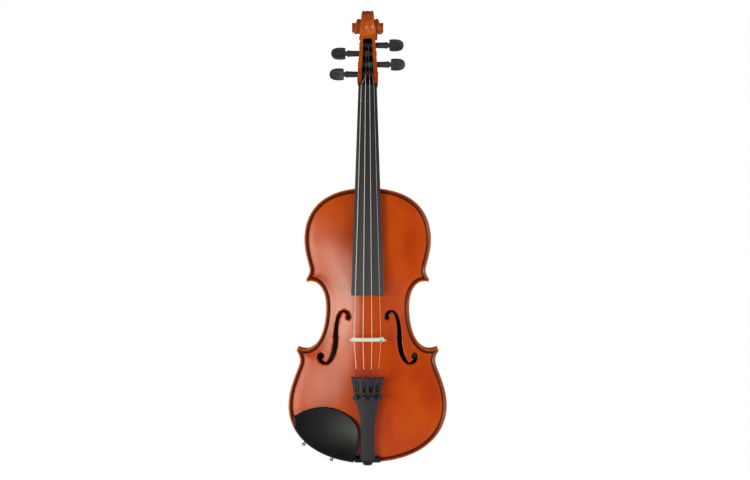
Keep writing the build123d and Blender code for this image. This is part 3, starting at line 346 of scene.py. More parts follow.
def satin_black(name, colour, darker, roughness, grain_mm, grain_height, shine, sheen_tone=None):
    """Dark surface with a fine grain; with sheen_tone, the board is painted that tone towards its low
    end, as a painted sheen.
    """
    material, shader = new_material(name)
    grain = add_node(material, "TexNoise", {
        "Vector": stretched(material, *grain_mm), "Scale": 1.0, "Detail": 2.0})
    drift = add_node(material, "TexNoise", {
        "Vector": stretched(material, 18, 18, 18), "Scale": 1.0, "Detail": 1.0})
    gloss = add_node(material, "MapRange", {
        "Value": drift.outputs["Fac"], "From Min": 0.3, "From Max": 0.7,
        "To Min": roughness - 0.04, "To Max": roughness + 0.04})
    tone = ramp(material, grain.outputs["Fac"], [(0.3, darker), (0.7, colour)])
    if sheen_tone:
        tone = blended(material, share_of_height(material, *board_span), sheen_tone, tone)
    feed(material, shader, Base_Color=tone, Roughness=gloss.outputs[0], Specular_IOR_Level=shine,
         Normal=bumps(material, grain.outputs["Fac"], grain_height, 0.6))
    return material


sheen_free_end = 0.04  # the last stretch of the board, below the nut, keeps its black
board_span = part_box("fingerboard")[0].z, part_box("fingerboard")[1].z - sheen_free_end
pores, moulded_grain = (0.7, 0.7, 40), (0.5, 0.5, 0.5)
dyed_black = satin_black("dyed hardwood", "#2A2A2C", "#1C1C1E", 0.45, pores, 0.01, 0.25)
# The paler lower end of the fingerboard is a painted sheen.
board_black = satin_black("dyed hardwood fingerboard", "#343436", "#222224", 0.5, pores, 0.01, 0.2,
                          sheen_tone="#4F4C4F")
peg_black = satin_black("moulded peg plastic", "#3C3B42", "#2F2E35", 0.45, moulded_grain, 0.01, 0.36)
tail_black = satin_black("moulded tailpiece plastic", "#36353D", "#2E2D34", 0.48, moulded_grain,
                         0.01, 0.34)
chin_black = satin_black("moulded chin rest plastic", "#0C0A14", "#0A0810", 0.36, moulded_grain,
                         0.006, 0.36)
gut_black = satin_black("nylon tailgut", "#1B1B1B", "#141414", 0.35, (0.8, 0.8, 0.8), 0.01, 0.4)


# %% Metals
def metal(name, colour, roughness, scratch_gap, metallic=1.0, peg_end=None):
    """Metal with hair lines across its roughness, changing above the nut to the tone peg_end, a
    painted shade.
    """
    material, shader = new_material(name)
    hair = add_node(material, "TexNoise", {
        "Vector": stretched(material, scratch_gap, scratch_gap, 6), "Scale": 1.0, "Detail": 3.0})
    gloss = add_node(material, "MapRange", {
        "Value": hair.outputs["Fac"], "From Min": 0.3, "From Max": 0.7,
        "To Min": roughness * 0.8, "To Max": roughness * 1.25})
    tone = hex_colour(colour)
    if peg_end:
        above_nut = share_of_height(material, nut_top, nut_top + shaded_run)
        tone = blended(material, above_nut, colour, peg_end)
    feed(material, shader, Base_Color=tone, Metallic=metallic, Roughness=gloss.outputs[0],
         Normal=bumps(material, hair.outputs["Fac"], 0.004, 0.4))
    return material


blacked_steel = metal("blacked steel", "#2E2E31", 0.4, 0.4)
brass = metal("drawn brass", "#5E4720", 0.45, 0.4)
nut_top, shaded_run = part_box("nut")[1].z, 0.012
# A winding too fine to see scatters light, so most of the string is not mirror-like.
# The strings' darker tone above the nut is painted shade of the pegbox.
string_steel = metal("flat-wound steel", "#F2EAE0", 0.4, 0.3, metallic=0.2, peg_end="#5E5850")
chrome = metal("chrome plate", "#A4A5A8", 0.18, 0.5)


# %% Silk, cork and the soft sleeve
def wrapped_silk(name, light, dark):
    """Floss silk wound round a string: thin dark gaps between bright turns, a soft sheen."""
    material, shader = new_material(name)
    turns = add_node(material, "TexWave", {
        "Vector": stretched(material, math.inf, math.inf, wave_size), "Scale": 1.0,
        "Distortion": 0.4}, wave_type="BANDS", bands_direction="Z")
    tone = ramp(material, turns.outputs["Color"], [(0.1, dark), (0.7, light)])
    feed(material, shader, Base_Color=tone, Roughness=0.8, Specular_IOR_Level=0.15,
         Normal=bumps(material, turns.outputs["Color"], 0.05, 0.6))
    return material


# A wave has 20 bands in 2 pi of its size, so this draws a turn every 1.2 mm, which is
# coarser than floss but can still be seen. A size without end leaves that axis out.
wave_size = 0.6 * 2 * math.pi


tail_silk = wrapped_silk("blue violet silk", "#4E4A8C", "#2A2858")
silk_tones = {"g": ("maroon", "#7A1230", "#3E0818"), "d": ("tan", "#7C5A2C", "#4A3418"),
              "a": ("grey", "#3C3A3C", "#1F1E20"), "e": ("teal", "#1FA68A", "#0E6A58")}
silks = {name: wrapped_silk(tone + " silk", light, dark)
         for name, (tone, light, dark) in silk_tones.items()}


def pressed_cork(name):
    """Cork: pale granules parted by dark specks."""
    material, shader = new_material(name)
    grains = add_node(material, "TexVoronoi", {
        "Vector": stretched(material, 1.1, 1.1, 1.1), "Scale": 1.0}, feature="F1")
    feed(material, shader, Base_Color=ramp(material, grains.outputs["Distance"],
                                           [(0.1, "#C99B66"), (0.55, "#B58552"), (0.8, "#6E4526")]),
         Roughness=0.85, Normal=bumps(material, grains.outputs["Distance"], 0.12, 0.6))
    return material


cork = pressed_cork("pressed cork")
sleeve_green = satin_black("soft sleeve", "#5FC4AC", "#4DB39B", 0.4, (0.6, 0.6, 0.6), 0.01, 0.4)

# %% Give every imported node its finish
finishes = {
    "varnished_spruce": varnished_spruce, "spruce": bare_spruce, "varnished_maple": varnished_maple,
    "purfling": purfling_wood, "ebony": dyed_black, "bridge_maple": bridge_maple,
    "peg_composite": peg_black, "tail_composite": tail_black, "tuner_steel": blacked_steel,
    "ball_brass": brass, "string_steel": string_steel, "silk": tail_silk,
    "sleeve_plastic": sleeve_green, "gut_nylon": gut_black, "chin_plastic": chin_black,
    "cork": cork, "clamp_chrome": chrome,
}
for packed in nodes.values():
    for place in packed.material_slots:
        place.material = finishes[place.material.name.split(".")[0]]
nodes["fingerboard"].material_slots[0].material = board_black
print("finishes:", len(finishes))

# %% [markdown]
# ## Outline of the plates
#
# Belly and back share one outline: two bouts, a waist, and four corners. Each stretch
# is a Bezier curve. An inset of the outline is its points moved along their normals,
# without those that land nearer to the edge than they should, as near a corner.

# %% The outline and its insets
lower_bout, waist, upper_bout = (102.8, 74.0), (54.1, 202.0), (82.3, 288.5)
lower_tip, upper_tip = (92.3, 144.4), (78.7, 233.8)
lower_tip_end, upper_tip_end = (90.844, 149.6), (80.0, 237.7)
lower_hollow, upper_hollow = (87.9, 132.0), (75.3, 250.0)
body_length = 356.0
point_gap = 0.9


def bezier(*controls):
    """Points on a Bezier curve: its controls weighted by t and 1 - t to their powers."""
    controls = np.array(controls, float)
    degree = len(controls) - 1
    length = np.linalg.norm(np.diff(controls, axis=0), axis=1).sum()
    t = np.linspace(0, 1, max(3, int(length / point_gap) + 2))[:-1, None]
    weights = [math.comb(degree, k) * t ** k * (1 - t) ** (degree - k) for k in range(degree + 1)]
    return sum(weight * control for weight, control in zip(weights, controls))


def body_outline():
    """The right half stretch by stretch, then the same points mirrored back down."""
    low, mid, top = lower_bout[0], waist[0], upper_bout[0]
    right = np.concatenate([
        bezier((0, 0), (0.64 * low, 0), (low, 0.44 * lower_bout[1]), lower_bout),
        bezier(lower_bout, (low, 101.028), (lower_hollow[0], 123.01), lower_hollow),
        bezier(lower_hollow, (lower_hollow[0], 137), (89.4, 140.3), lower_tip),
        bezier(lower_tip, lower_tip_end),
        bezier(lower_tip_end, (68.244, 138.0), (mid, 165.844), waist),
        bezier(waist, (mid, 228.076), (67.5, 238.4), upper_tip),
        bezier(upper_tip, upper_tip_end),
        bezier(upper_tip_end, (77.7, 241.0), (upper_hollow[0], 245), upper_hollow),
        bezier(upper_hollow, (upper_hollow[0], 254), (top, 271.945), upper_bout),
        bezier(upper_bout, (top, 324.343), (0.747 * top, body_length), (0, body_length)),
    ])
    left = right[:0:-1] * (-1, 1)
    return np.concatenate([right, [(0, body_length)], left])


def batches(points):
    """Few enough points at a time for a table of every point against every loop point."""
    return np.array_split(points, max(1, len(points) // 6000))


def nearest(points, loop):
    """Distance to a closed loop: its nearest point first, then the two pieces that meet there."""
    found = []
    for few in batches(points):
        closest = ((loop ** 2).sum(1) - 2 * few @ loop.T).argmin(1)
        best = np.full(len(few), np.inf)
        for step in (-1, 0):
            start = loop[(closest + step) % len(loop)]
            run = loop[(closest + step + 1) % len(loop)] - start
            share = np.clip(((few - start) * run).sum(1) / np.maximum((run ** 2).sum(1), 1e-12), 0, 1)
            best = np.minimum(best, np.linalg.norm(few - start - share[:, None] * run, axis=1))
        found.append(best)
    return np.concatenate(found)


def inside(points, loop):
    """True where a ray to the right crosses the loop an odd number of times."""
    start, end = loop, np.roll(loop, -1, axis=0)
    rise = np.where(end[:, 1] == start[:, 1], 1e-12, end[:, 1] - start[:, 1])
    slope = (end[:, 0] - start[:, 0]) / rise
    found = []
    for few in batches(points):
        x, z = few[:, :1], few[:, 1:]
        spans = (start[:, 1] > z) != (end[:, 1] > z)
        found.append((spans & (x < start[:, 0] + (z - start[:, 1]) * slope)).sum(1) % 2 == 1)
    return np.concatenate(found)


def inset(loop, distance):
    """Each point moved inwards along its normal, kept only if it is that far from the loop."""
    along = np.roll(loop, -1, axis=0) - np.roll(loop, 1, axis=0)
    along /= np.linalg.norm(along, axis=1)[:, None]
    moved = loop + distance * np.stack([-along[:, 1], along[:, 0]], 1)
    return moved[(nearest(moved, loop) > distance - 0.03) & inside(moved, loop)]


outline = body_outline()
ahead = np.roll(outline, -1, axis=0)
area = 0.5 * float(np.sum(outline[:, 0] * ahead[:, 1] - outline[:, 1] * ahead[:, 0]))
print("outline points:", len(outline), "area:", round(area), "mm2")

# %% [markdown]
# ## Arching
#
# The plates swell from a shallow channel near the edge to a ridge down the middle. The
# rise is the square of a cosine across, times a flatter cosine along. The edge is
# rounded over, and the channel is a soft groove at a fixed distance from the edge.

# %% How far a plate stands proud
edge_thickness = 4.0
edge_round = 1.9
channel_at, channel_outer, channel_inner, channel_deep = 5.6, 2.8, 5.2, 0.95


def arching(points):
    """1 on the ridge and 0 at the edge: cos^2 across times cos^1.3 along, at each point."""
    x, z = points[:, 0], points[:, 1]
    low_share = (1 - np.cos(np.pi * (z - lower_bout[1]) / (waist[1] - lower_bout[1]))) / 2
    top_share = (1 - np.cos(np.pi * (z - waist[1]) / (upper_bout[1] - waist[1]))) / 2
    half = np.select(
        [z < lower_bout[1], z < waist[1], z < upper_bout[1]],
        [lower_bout[0], lower_bout[0] + (waist[0] - lower_bout[0]) * low_share,
         waist[0] + (upper_bout[0] - waist[0]) * top_share], upper_bout[0])
    across = np.minimum(np.abs(x) / half, 1)
    along = np.minimum(np.abs(2 * z / body_length - 1), 1)
    ridge = np.maximum(np.cos(np.pi / 2 * along ** 2.2), 0) ** 1.3
    return np.cos(np.pi / 2 * across ** 1.15) ** 2 * ridge


def rounded_edge(distance):
    """Quarter circle over the edge: r minus the circle's height, 0 once past the radius."""
    reach = np.clip(distance / edge_round, 0, 1)
    return edge_round * (1 - np.sqrt(1 - (1 - reach) ** 2))


def channel(distance):
    """A groove with the shape of a bell curve, wider on the inner side."""
    side = np.where(distance < channel_at, channel_outer, channel_inner)
    return channel_deep * np.exp(-((distance - channel_at) / side) ** 2)


# %% [markdown]
# ## Sound holes
#
# A sound hole is two round eyes joined by a stem that swings into a pointed wing at
# each end, with a small nick on both sides that marks where the bridge stands.

# %% Outline of a sound hole
eye_top, eye_top_radius = (25.0, 188.2), 3.25
eye_low, eye_low_radius = (61.0, 138.3), 4.4
stem_outer, stem_inner, nick_at, nick = 44.2, 38.2, 162.2, 1.2


def arc(centre, radius, start, end):
    """Points on a circle between two angles in degrees."""
    count = max(6, int(abs(end - start) / 9))
    turn = np.radians(np.linspace(start, end, count))
    return np.stack([centre[0] + radius * np.cos(turn), centre[1] + radius * np.sin(turn)], 1)


def sound_hole():
    """Round the lower eye, its wing, the outer side, the upper eye, its wing, the inner side."""
    (top_x, top_z), (low_x, low_z) = eye_top, eye_low
    crest, sole = (top_x + 5.2, top_z + 9.8), (low_x - 5.9, low_z - 11.3)
    top_wing, low_wing = (top_x + 6.3, top_z + 7.3), (low_x - 7.1, low_z - 8.9)
    top_neck, low_neck = (top_x + 2.0, top_z + 3.4), (low_x - 1.7, low_z - 4.6)
    top_left, low_right = (top_x - eye_top_radius, top_z), (low_x + eye_low_radius, low_z)
    return np.concatenate([
        bezier(sole, (sole[0] + 6, sole[1]), (low_right[0], low_z - 6.6), low_right),
        arc(eye_low, eye_low_radius, 0, 245), [low_neck],
        bezier(low_wing, (low_wing[0] - 5.5, low_wing[1] + 5.0),
               (stem_outer + 0.7, nick_at - 15.2), (stem_outer, nick_at - nick)),
        [(stem_outer, nick_at - nick), (stem_outer + nick, nick_at)],
        bezier((stem_outer, nick_at + nick), (stem_outer - 0.3, nick_at + 21.5),
               (crest[0] + 9.1, crest[1]), crest),
        bezier(crest, (crest[0] - 5, crest[1]), (top_left[0], top_z + 5.7), top_left),
        arc(eye_top, eye_top_radius, 180, 415), [top_neck],
        bezier(top_wing, (top_wing[0] + 5.3, top_wing[1] - 4.1),
               (stem_inner + 0.4, nick_at + 17.8), (stem_inner, nick_at + nick)),
        [(stem_inner, nick_at + nick), (stem_inner - nick, nick_at)],
        bezier((stem_inner, nick_at - nick), (stem_inner - 0.2, nick_at - 18.7),
               (sole[0] - 10.5, sole[1]), sole),
    ])


# %% [markdown]
# ## Carving the plates
#
# A plate is a flat region filled with triangles, whose points are then pushed to the
# height that the arching gives. Rows of points follow the edge closely, where the shape
# turns fast, and a plain grid fills the middle. Front and back faces share the points
# of the outline, and short walls join them round the sound holes.

# %% Fill a region with triangles and lift it into a plate
edge_rows = [0.12, 0.35, 0.7, 1.15, 1.7, 2.4, 3.2, 4.0, 4.8, 5.6, 6.6, 7.8, 9.2, 11.0, 13.0]
grid_gap, edge_clear, hole_clear = 2.2, edge_rows[-1] + 0.8, 0.9
lining_reach, rim_thickness, channel_darkest, rim_lightest = 7.0, 0.1, 0.85, 0.4


def filled_region(loops, holes, edge, clear, gap):
    """Delaunay triangles between the outline and the holes, through edge rows and a grid."""
    outer = loops[0]
    (left, low), (right, high) = outer.min(0), outer.max(0)
    x, z = np.meshgrid(np.arange(left, right, gap), np.arange(low, high, gap))
    middle = np.stack([x.ravel(), z.ravel()], 1)
    middle = middle[inside(middle, outer)]
    middle = middle[nearest(middle, edge) > clear]
    for hole in holes:
        middle = middle[nearest(middle, hole) > hole_clear]
    points, edges, first = [], [], 0
    for loop in [*loops, *holes]:
        count = len(loop)
        points.append(loop)
        if loop is outer or any(loop is hole for hole in holes):
            edges += [(first + step, first + (step + 1) % count) for step in range(count)]
        first += count
    points = np.concatenate([*points, middle])
    triangulated = delaunay_2d_cdt([Vector(point) for point in points], edges, [], 0, 1e-5)
    flat = np.array([tuple(point) for point in triangulated[0]])
    triangles = np.array(triangulated[2])
    centres = flat[triangles].mean(1)
    keep = inside(centres, outer)
    for hole in holes:
        keep &= ~inside(centres, hole)
    triangles = triangles[keep]
    corner = flat[triangles]
    first_run, second_run = corner[:, 1] - corner[:, 0], corner[:, 2] - corner[:, 0]
    turn = first_run[:, 0] * second_run[:, 1] - first_run[:, 1] * second_run[:, 0]
    triangles[turn < 0] = triangles[turn < 0][:, ::-1]
    return flat, triangles[np.abs(turn) > 1e-9]


def carved_plate(flat, triangles, rim, top, under):
    """Closed shell of points (x, top, z) and (x, under, z), one point where rim is true."""
    count = len(flat)
    below = np.where(rim, np.arange(count), np.arange(count) + count)
    front = np.stack([flat[:, 0], top, flat[:, 1]], 1)
    back = np.stack([flat[:, 0], under, flat[:, 1]], 1)
    sides = np.concatenate([triangles[:, [0, 1]], triangles[:, [1, 2]], triangles[:, [2, 0]]])
    seen = {tuple(side) for side in sides.tolist()}
    free = [(a, b) for a, b in seen if (b, a) not in seen and not (rim[a] and rim[b])]
    faces = triangles.tolist() + below[triangles][:, ::-1].tolist()
    faces += [(b, a, below[a], below[b]) for a, b in free]
    points = np.concatenate([front, back])
    used = np.unique(np.concatenate([np.ravel(face) for face in faces]))
    fresh = np.full(len(points), -1)
    fresh[used] = np.arange(len(used))
    return points[used], [[int(fresh[corner]) for corner in face] for face in faces], used % count


def channel_varnish_and_shade(distance):
    """How dark the channel is painted, partly for varnish gathered there and partly as painted shade
    on its slopes: one soft step up times another back down.
    """
    return channel_darkest * smooth_step((distance - 1.1) / 1.6) * smooth_step((6.8 - distance) / 1.5)


def rim_wear_and_highlight(distance):
    """How much lighter the rounded edge is painted, partly for varnish thinned by wear and partly as
    a painted highlight where the edge catches light: a soft step down from the rim.
    """
    return rim_lightest * smooth_step((2.2 - distance) / 1.4)


def hollowed(distance):
    """0 over the linings, where the plate is flat for gluing, then a soft step to 1 inside."""
    return smooth_step((distance - lining_reach) / 3.0)


# %% [markdown]
# ## Belly
#
# The belly is the part everyone sees: quarter-sawn spruce, hollowed to three
# millimetres, with the bridge standing on its ridge between the sound holes.

# %% Carve the belly
belly_rise, belly_wall = 11.2, 3.0
hole_right = sound_hole()
hole_left = hole_right[::-1] * (-1, 1)
edge_loops = [outline, *[inset(outline, row) for row in edge_rows]]


def belly_front(points, distance):
    """Depth of the belly's face: edge, minus its round, minus the arching, plus the channel."""
    return -edge_thickness - belly_rise * arching(points) + channel(distance)


def carve_belly():
    """The belly as one closed shell: bare wood wherever a point lies inside, past the linings."""
    flat, triangles = filled_region(edge_loops, [hole_right, hole_left], outline,
                                    edge_clear, grid_gap)
    distance = nearest(flat, outline)
    rim = distance < 1e-3
    face = belly_front(flat, distance)
    top = face + rounded_edge(distance) + np.where(rim, rim_thickness, 0)
    flat_back = -np.minimum(rounded_edge(distance), edge_round)
    under = flat_back + hollowed(distance) * (face + belly_wall)
    points, faces, source = carved_plate(flat, triangles, rim, top, under)
    piece = make_piece("carved_belly", placed(points), faces, varnished_spruce,
                       stands_for=["belly"])
    # The channel is painted darker, partly as shade, and the rim lighter, partly as a highlight.
    add_numbers(piece, "hollow", channel_varnish_and_shade(distance)[source])
    add_numbers(piece, "rim", rim_wear_and_highlight(distance)[source])
    below_face = points[:, 1] > top[source] + 0.2
    add_numbers(piece, "bare", np.where(below_face & (distance[source] > lining_reach), 1.0, 0.0))


carve_belly()

# %% [markdown]
# ## Back
#
# The back is maple, arched the same way to the other side. The ribs' outline grows a
# half-round button at the top, where the heel of the neck is glued.

# %% Carve the back
rib_height, back_rise, back_wall, back_crown = 31.0, 10.8, 2.7, 1.8
button_radius, button_at, button_rows = 10.8, 358.0, 6


def outline_with_button():
    """The outline, with its top replaced by most of a circle where the button grows out."""
    centre = np.array([0, button_at])
    away = np.linalg.norm(outline - centre, axis=1)
    body = outline[(away > button_radius) | (outline[:, 1] < button_at - button_radius)]
    first_left = int(np.argmax(body[:, 0] < -1e-6))
    start = math.degrees(math.atan2(*(body[first_left - 1] - centre)[::-1]))
    button = arc(centre, button_radius, start, 180 - start)[1:-1]
    return np.concatenate([body[:first_left], button, body[first_left:]])


def back_face(points, distance, on_button=0):
    """Depth of the back's outer face away from its round edge; the button has no channel."""
    level = rib_height + edge_thickness + back_rise * arching(points)
    return level - channel(distance) * (1 - on_button)


def carve_back():
    """The back as one closed shell; its round edge follows the button too."""
    rim_loop = outline_with_button()
    loops = [rim_loop, *[inset(rim_loop, row) for row in edge_rows[:button_rows]],
             *[inset(outline, row) for row in edge_rows[button_rows:]]]
    flat, triangles = filled_region(loops, [], outline, edge_clear, grid_gap)
    to_rim = nearest(flat, rim_loop)
    to_body = nearest(flat, outline) * np.where(inside(flat, outline), 1, 0)
    rim = to_rim < 1e-3
    on_button = smooth_step((flat[:, 1] - 350) / 5) * smooth_step((14 - np.abs(flat[:, 0])) / 4)
    level = back_face(flat, to_body, on_button)
    outer = level - rounded_edge(to_rim) - np.where(rim, rim_thickness, 0)
    inner = rib_height + np.minimum(rounded_edge(to_rim), edge_round)
    inner = inner + hollowed(to_body) * (level - back_wall - back_crown * arching(flat) - rib_height)
    points, faces, source = carved_plate(flat, triangles, rim, inner, outer)
    piece = make_piece("carved_back", placed(points), faces, varnished_maple,
                       stands_for=["back"])
    # The channel is painted darker, partly as shade, and the rim lighter, partly as a highlight.
    add_numbers(piece, "hollow", channel_varnish_and_shade(np.where(to_body > 0, to_body, 20))[source])
    add_numbers(piece, "rim", rim_wear_and_highlight(to_rim)[source])
    inside_face = (points[:, 1] < outer[source] - 0.2) & (to_body[source] > lining_reach)
    add_numbers(piece, "bare", np.where(inside_face, 1.0, 0.0))


carve_back()

# %% [markdown]
# ## Purfling
#
# Three thin strips of wood are glued into a slot around each plate, to stop cracks at
# the edge. Stained through, they read as one dark line. Here they are one ribbon that
# follows an inset of the outline, just proud of the wood. On the belly it stops at the
# neck and at the saddle.

# %% Inlay the purfling
purfling_at, purfling_width, purfling_proud, purfling_sunk = 4.65, 1.3, 0.02, 0.9
saddle_zone, neck_zone = 20, 340


def mitred(loop):
    """Normals of a closed loop, stretched at corners by one over the cosine of half the turn."""
    run = np.roll(loop, -1, axis=0) - loop
    run /= np.linalg.norm(run, axis=1)[:, None]
    normal = np.stack([-run[:, 1], run[:, 0]], 1)
    middle = normal + np.roll(normal, 1, axis=0)
    middle /= np.linalg.norm(middle, axis=1)[:, None]
    return middle / np.maximum((middle * normal).sum(1), 0.35)[:, None]


def inlay(name, stands_for, level, outward, saddle_half=0.0, neck_half=0.0):
    """A ribbon of five strips across, its face at level(points) and its edges sunk."""
    line = inset(outline, purfling_at)
    across = np.array([-0.5, -0.5, -0.18, 0.18, 0.5, 0.5]) * purfling_width
    sunk = np.array([purfling_sunk, 0, 0, 0, 0, purfling_sunk])
    points = line[:, None, :] + across[:, None] * mitred(line)[:, None, :]
    flat = points.reshape(-1, 2)
    proud = purfling_proud - np.tile(sunk, len(line))
    depth = level(flat, nearest(flat, outline)) + outward * proud
    faces = grid_faces(len(line), len(across), close_rows=True)
    if outward > 0:
        faces = faces[:, ::-1]
    middle = flat[faces].mean(1)
    hidden = (np.abs(middle[:, 0]) < saddle_half) & (middle[:, 1] < saddle_zone)
    hidden |= (np.abs(middle[:, 0]) < neck_half) & (middle[:, 1] > neck_zone)
    make_piece(name, placed(np.stack([flat[:, 0], depth, flat[:, 1]], 1)), faces[~hidden],
               purfling_wood, stands_for=[stands_for])


inlay("purfling_front", "belly_purfling", belly_front, -1, saddle_half=16.5, neck_half=15.9)
inlay("purfling_back", "back_purfling", back_face, 1)

# %% [markdown]
# ## Silk on the strings
#
# Each string is bound with coloured silk at both ends: violet where it lies on the
# tailpiece, and its own colour on the peg. A binding is a tube carried along a path.
# On the peg the path is a helix, and its turns lie side by side.

# %% Tubes along a path
def tube(centres, radius, sides, across):
    """At each centre a circle of its radius square to the path, begun at the product with across."""
    centres = np.asarray(centres, float)
    run = np.gradient(centres, axis=0)
    run /= np.linalg.norm(run, axis=1)[:, None]
    first = np.cross(run, across)
    first /= np.linalg.norm(first, axis=1)[:, None]
    second = np.cross(run, first)
    turn = np.linspace(0, 2 * np.pi, sides, endpoint=False)[:, None]
    circle = np.cos(turn) * first[:, None] + np.sin(turn) * second[:, None]
    rings = centres[:, None] + np.reshape(radius, (-1, 1, 1)) * circle
    faces = grid_faces(len(centres), sides, close_columns=True).tolist()
    last = sides * (len(centres) - 1)
    faces += [list(range(sides))[::-1], list(range(last, last + sides))]
    return rings.reshape(-1, 3), faces


def along_line(corners, gap):
    """Points every gap millimetres along straight runs between corners."""
    corners = np.asarray(corners, float)
    reached = np.concatenate([[0], np.cumsum(np.linalg.norm(np.diff(corners, axis=0), axis=1))])
    steps = np.linspace(0, reached[-1], int(reached[-1] / gap) + 2)
    return np.stack([np.interp(steps, reached, corners[:, axis]) for axis in range(3)], 1)


# %% Bind the tail ends
string_names = ["g", "d", "a", "e"]
string_width = {"g": 0.82, "d": 0.84, "a": 0.68, "e": 0.34}
bridge_spread, bridge_z, bridge_curve, bridge_lean = 34.2, 159.7, 42.0, 0.069
bridge_crown, belly_crown = 32.95, -15.2
tail_foot, tail_head, tail_curve = np.array([0, -15.5, 3.0]), np.array([0, -35.0, 110.4]), 34.0
tail_angles = {"g": -22.35, "d": -7.45, "a": 7.45, "e": 22.35}
ball_at, silk_length, silk_thickness = 99.5, 14.5, 0.24


def over_bridge(name):
    """Where a string crosses the bridge: crown less the sagitta of its curve."""
    x = bridge_spread * (string_names.index(name) / 3 - 0.5)
    sagitta = bridge_curve - math.sqrt(bridge_curve ** 2 - x ** 2)
    return np.array([x, belly_crown - bridge_crown + sagitta + bridge_lean * x, bridge_z])


def on_tail(name, along, height):
    """A point over the drum-shaped tailpiece: along it, then out from the drum's axis."""
    up = (tail_head - tail_foot) / np.linalg.norm(tail_head - tail_foot)
    out = np.cross(up, (-1, 0, 0))
    turn = math.radians(tail_angles[name])
    reach = tail_curve + height
    return (tail_foot + up * along + out * (reach * math.cos(turn) - tail_curve)
            + np.array([reach * math.sin(turn), 0, 0]))


def bind_tail_end(name):
    """Violet silk over the ridge to the ball, thicker where the string is twisted back."""
    tail_length = np.linalg.norm(tail_head - tail_foot)
    ridge = on_tail(name, tail_length - 1.2, 1.0 + 0.3 * string_width[name])
    ball = on_tail(name, ball_at, -0.9)
    toward = over_bridge(name) - ridge
    start = ridge + toward / np.linalg.norm(toward) * silk_length
    centres = along_line([start, ridge, ball], 0.6)
    from_ball = np.linalg.norm(centres - ball, axis=1)
    twisted_back = 0.5 * smooth_step((6.5 - from_ball) / 3)
    radius = string_width[name] / 2 + silk_thickness + twisted_back
    points, faces = tube(centres, radius, 12, (1, 0, 0))
    make_piece("tail_silk_" + name, placed(points), faces, tail_silk)


# %% Wind the peg ends
turn_width, points_per_turn = 0.8, 28


def wind_peg_end(name):
    """A helix round the peg: x grows evenly while the path turns about the peg's axis."""
    low, high = (np.array(corner) * 1000 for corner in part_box("winding_" + name))
    centre, radius = (low + high) / 2, (high[1] - low[1]) / 2 - turn_width / 2
    turns = int((high[0] - low[0]) / turn_width)
    turn = np.linspace(0, 2 * np.pi * turns, points_per_turn * turns)
    x = np.linspace(low[0] + turn_width / 2, high[0] - turn_width / 2, len(turn))
    path = np.stack([x, centre[1] + radius * np.cos(turn), centre[2] + radius * np.sin(turn)], 1)
    points, faces = tube(path, turn_width / 2, 8, (1, 0, 0))
    make_piece("peg_silk_" + name, points / 1000, faces, silks[name], body="peg_" + name,
               stands_for=["winding_" + name])


for name in string_names:
    bind_tail_end(name)
    wind_peg_end(name)

# %% [markdown]
# ## Bridge
#
# The bridge is cut from plain maple and left white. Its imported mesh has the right
# outline but full-thickness hips. A maker thins the hips towards their tips, on the face
# that looks to the scroll, so a merged copy of the mesh is thinned there.

# %% Thin the bridge
hip_start, hip_tip, tip_share = 20.2, 24.6, 0.2


def thin_bridge():
    """Thickness times a share that falls in a straight line from hip_start to hip_tip."""
    merged = bmesh.new()
    merged.from_mesh(nodes["bridge"].data)
    bmesh.ops.remove_doubles(merged, verts=merged.verts, dist=1e-6)
    mesh = bpy.data.meshes.new("merged bridge")
    merged.to_mesh(mesh)
    merged.free()
    points = np.empty(3 * len(mesh.vertices))
    mesh.vertices.foreach_get("co", points)
    points = points.reshape(-1, 3)
    faces = [list(face.vertices) for face in mesh.polygons]
    bpy.data.meshes.remove(mesh)
    out = np.abs(points[:, 0]) * 1000
    share = np.clip((hip_tip - out) / (hip_tip - hip_start), tip_share, 1)
    tail_face = points[:, 2].min()
    points[:, 2] = tail_face + (points[:, 2] - tail_face) * share
    piece = make_piece("thinned_bridge", points, faces, bridge_maple, stands_for=["bridge"])
    piece.data.polygons.foreach_set("use_smooth", [False] * len(piece.data.polygons))


thin_bridge()

# %% [markdown]
# ## Fine tuner screws
#
# Each screw presses on a lever that tilts as the screw goes down. A flat end would dig
# its corner into the lever, so the end is turned to a half ball. The shank is threaded.

# %% Turn the screws
screw_at, screw_low, screw_high, screw_radius = 85.4, -6.0, 7.0, 1.3
thread_pitch, thread_depth = 0.5, 0.17


def turn_screw(name):
    """Rings up the screw's axis: a half ball at the tip, then crests and roots by turns."""
    angle = np.radians(np.linspace(8, 90, 8))
    height = screw_low + screw_radius * (1 - np.cos(angle))
    shank = np.arange(height[-1] + thread_pitch / 2, screw_high, thread_pitch / 2)
    root = np.arange(len(shank)) % 2 == 0
    height = np.concatenate([height, shank])
    radius = np.concatenate([screw_radius * np.sin(angle), screw_radius - thread_depth * root])
    centres = np.array([on_tail(name, screw_at, rise) for rise in height])
    points, faces = tube(centres, radius, 20, (1, 0, 0))
    make_piece("turned_screw_" + name, placed(points), faces, blacked_steel,
               body="tuner_screw_" + name, stands_for=["tuner_screw_" + name])


for name in string_names:
    turn_screw(name)


# %% [markdown]
# ## Chin rest
#
# A moulded plate over the bass side. Its hollow is deepest at the outer end and rises
# towards the tailpiece, so the light runs up its inner side. Its outer edge follows the
# edge of the belly, and its underside clears the arching by half a millimetre.

# %% Mould the chin rest
chin_inset, chin_round, chin_clearance, chin_wall, cork_top = 1.7, 1.5, 0.5, 0.8, -6.8
chin_rows = [0.08, 0.3, 0.6, 1.0, 1.5, 2.2, 3.2, 4.6, 6.2]
bowl_middle, bowl_low = (-67.0, 52.0), -14.0
bowl_across, bowl_above, bowl_below = 0.0019, 0.0027, 0.0045


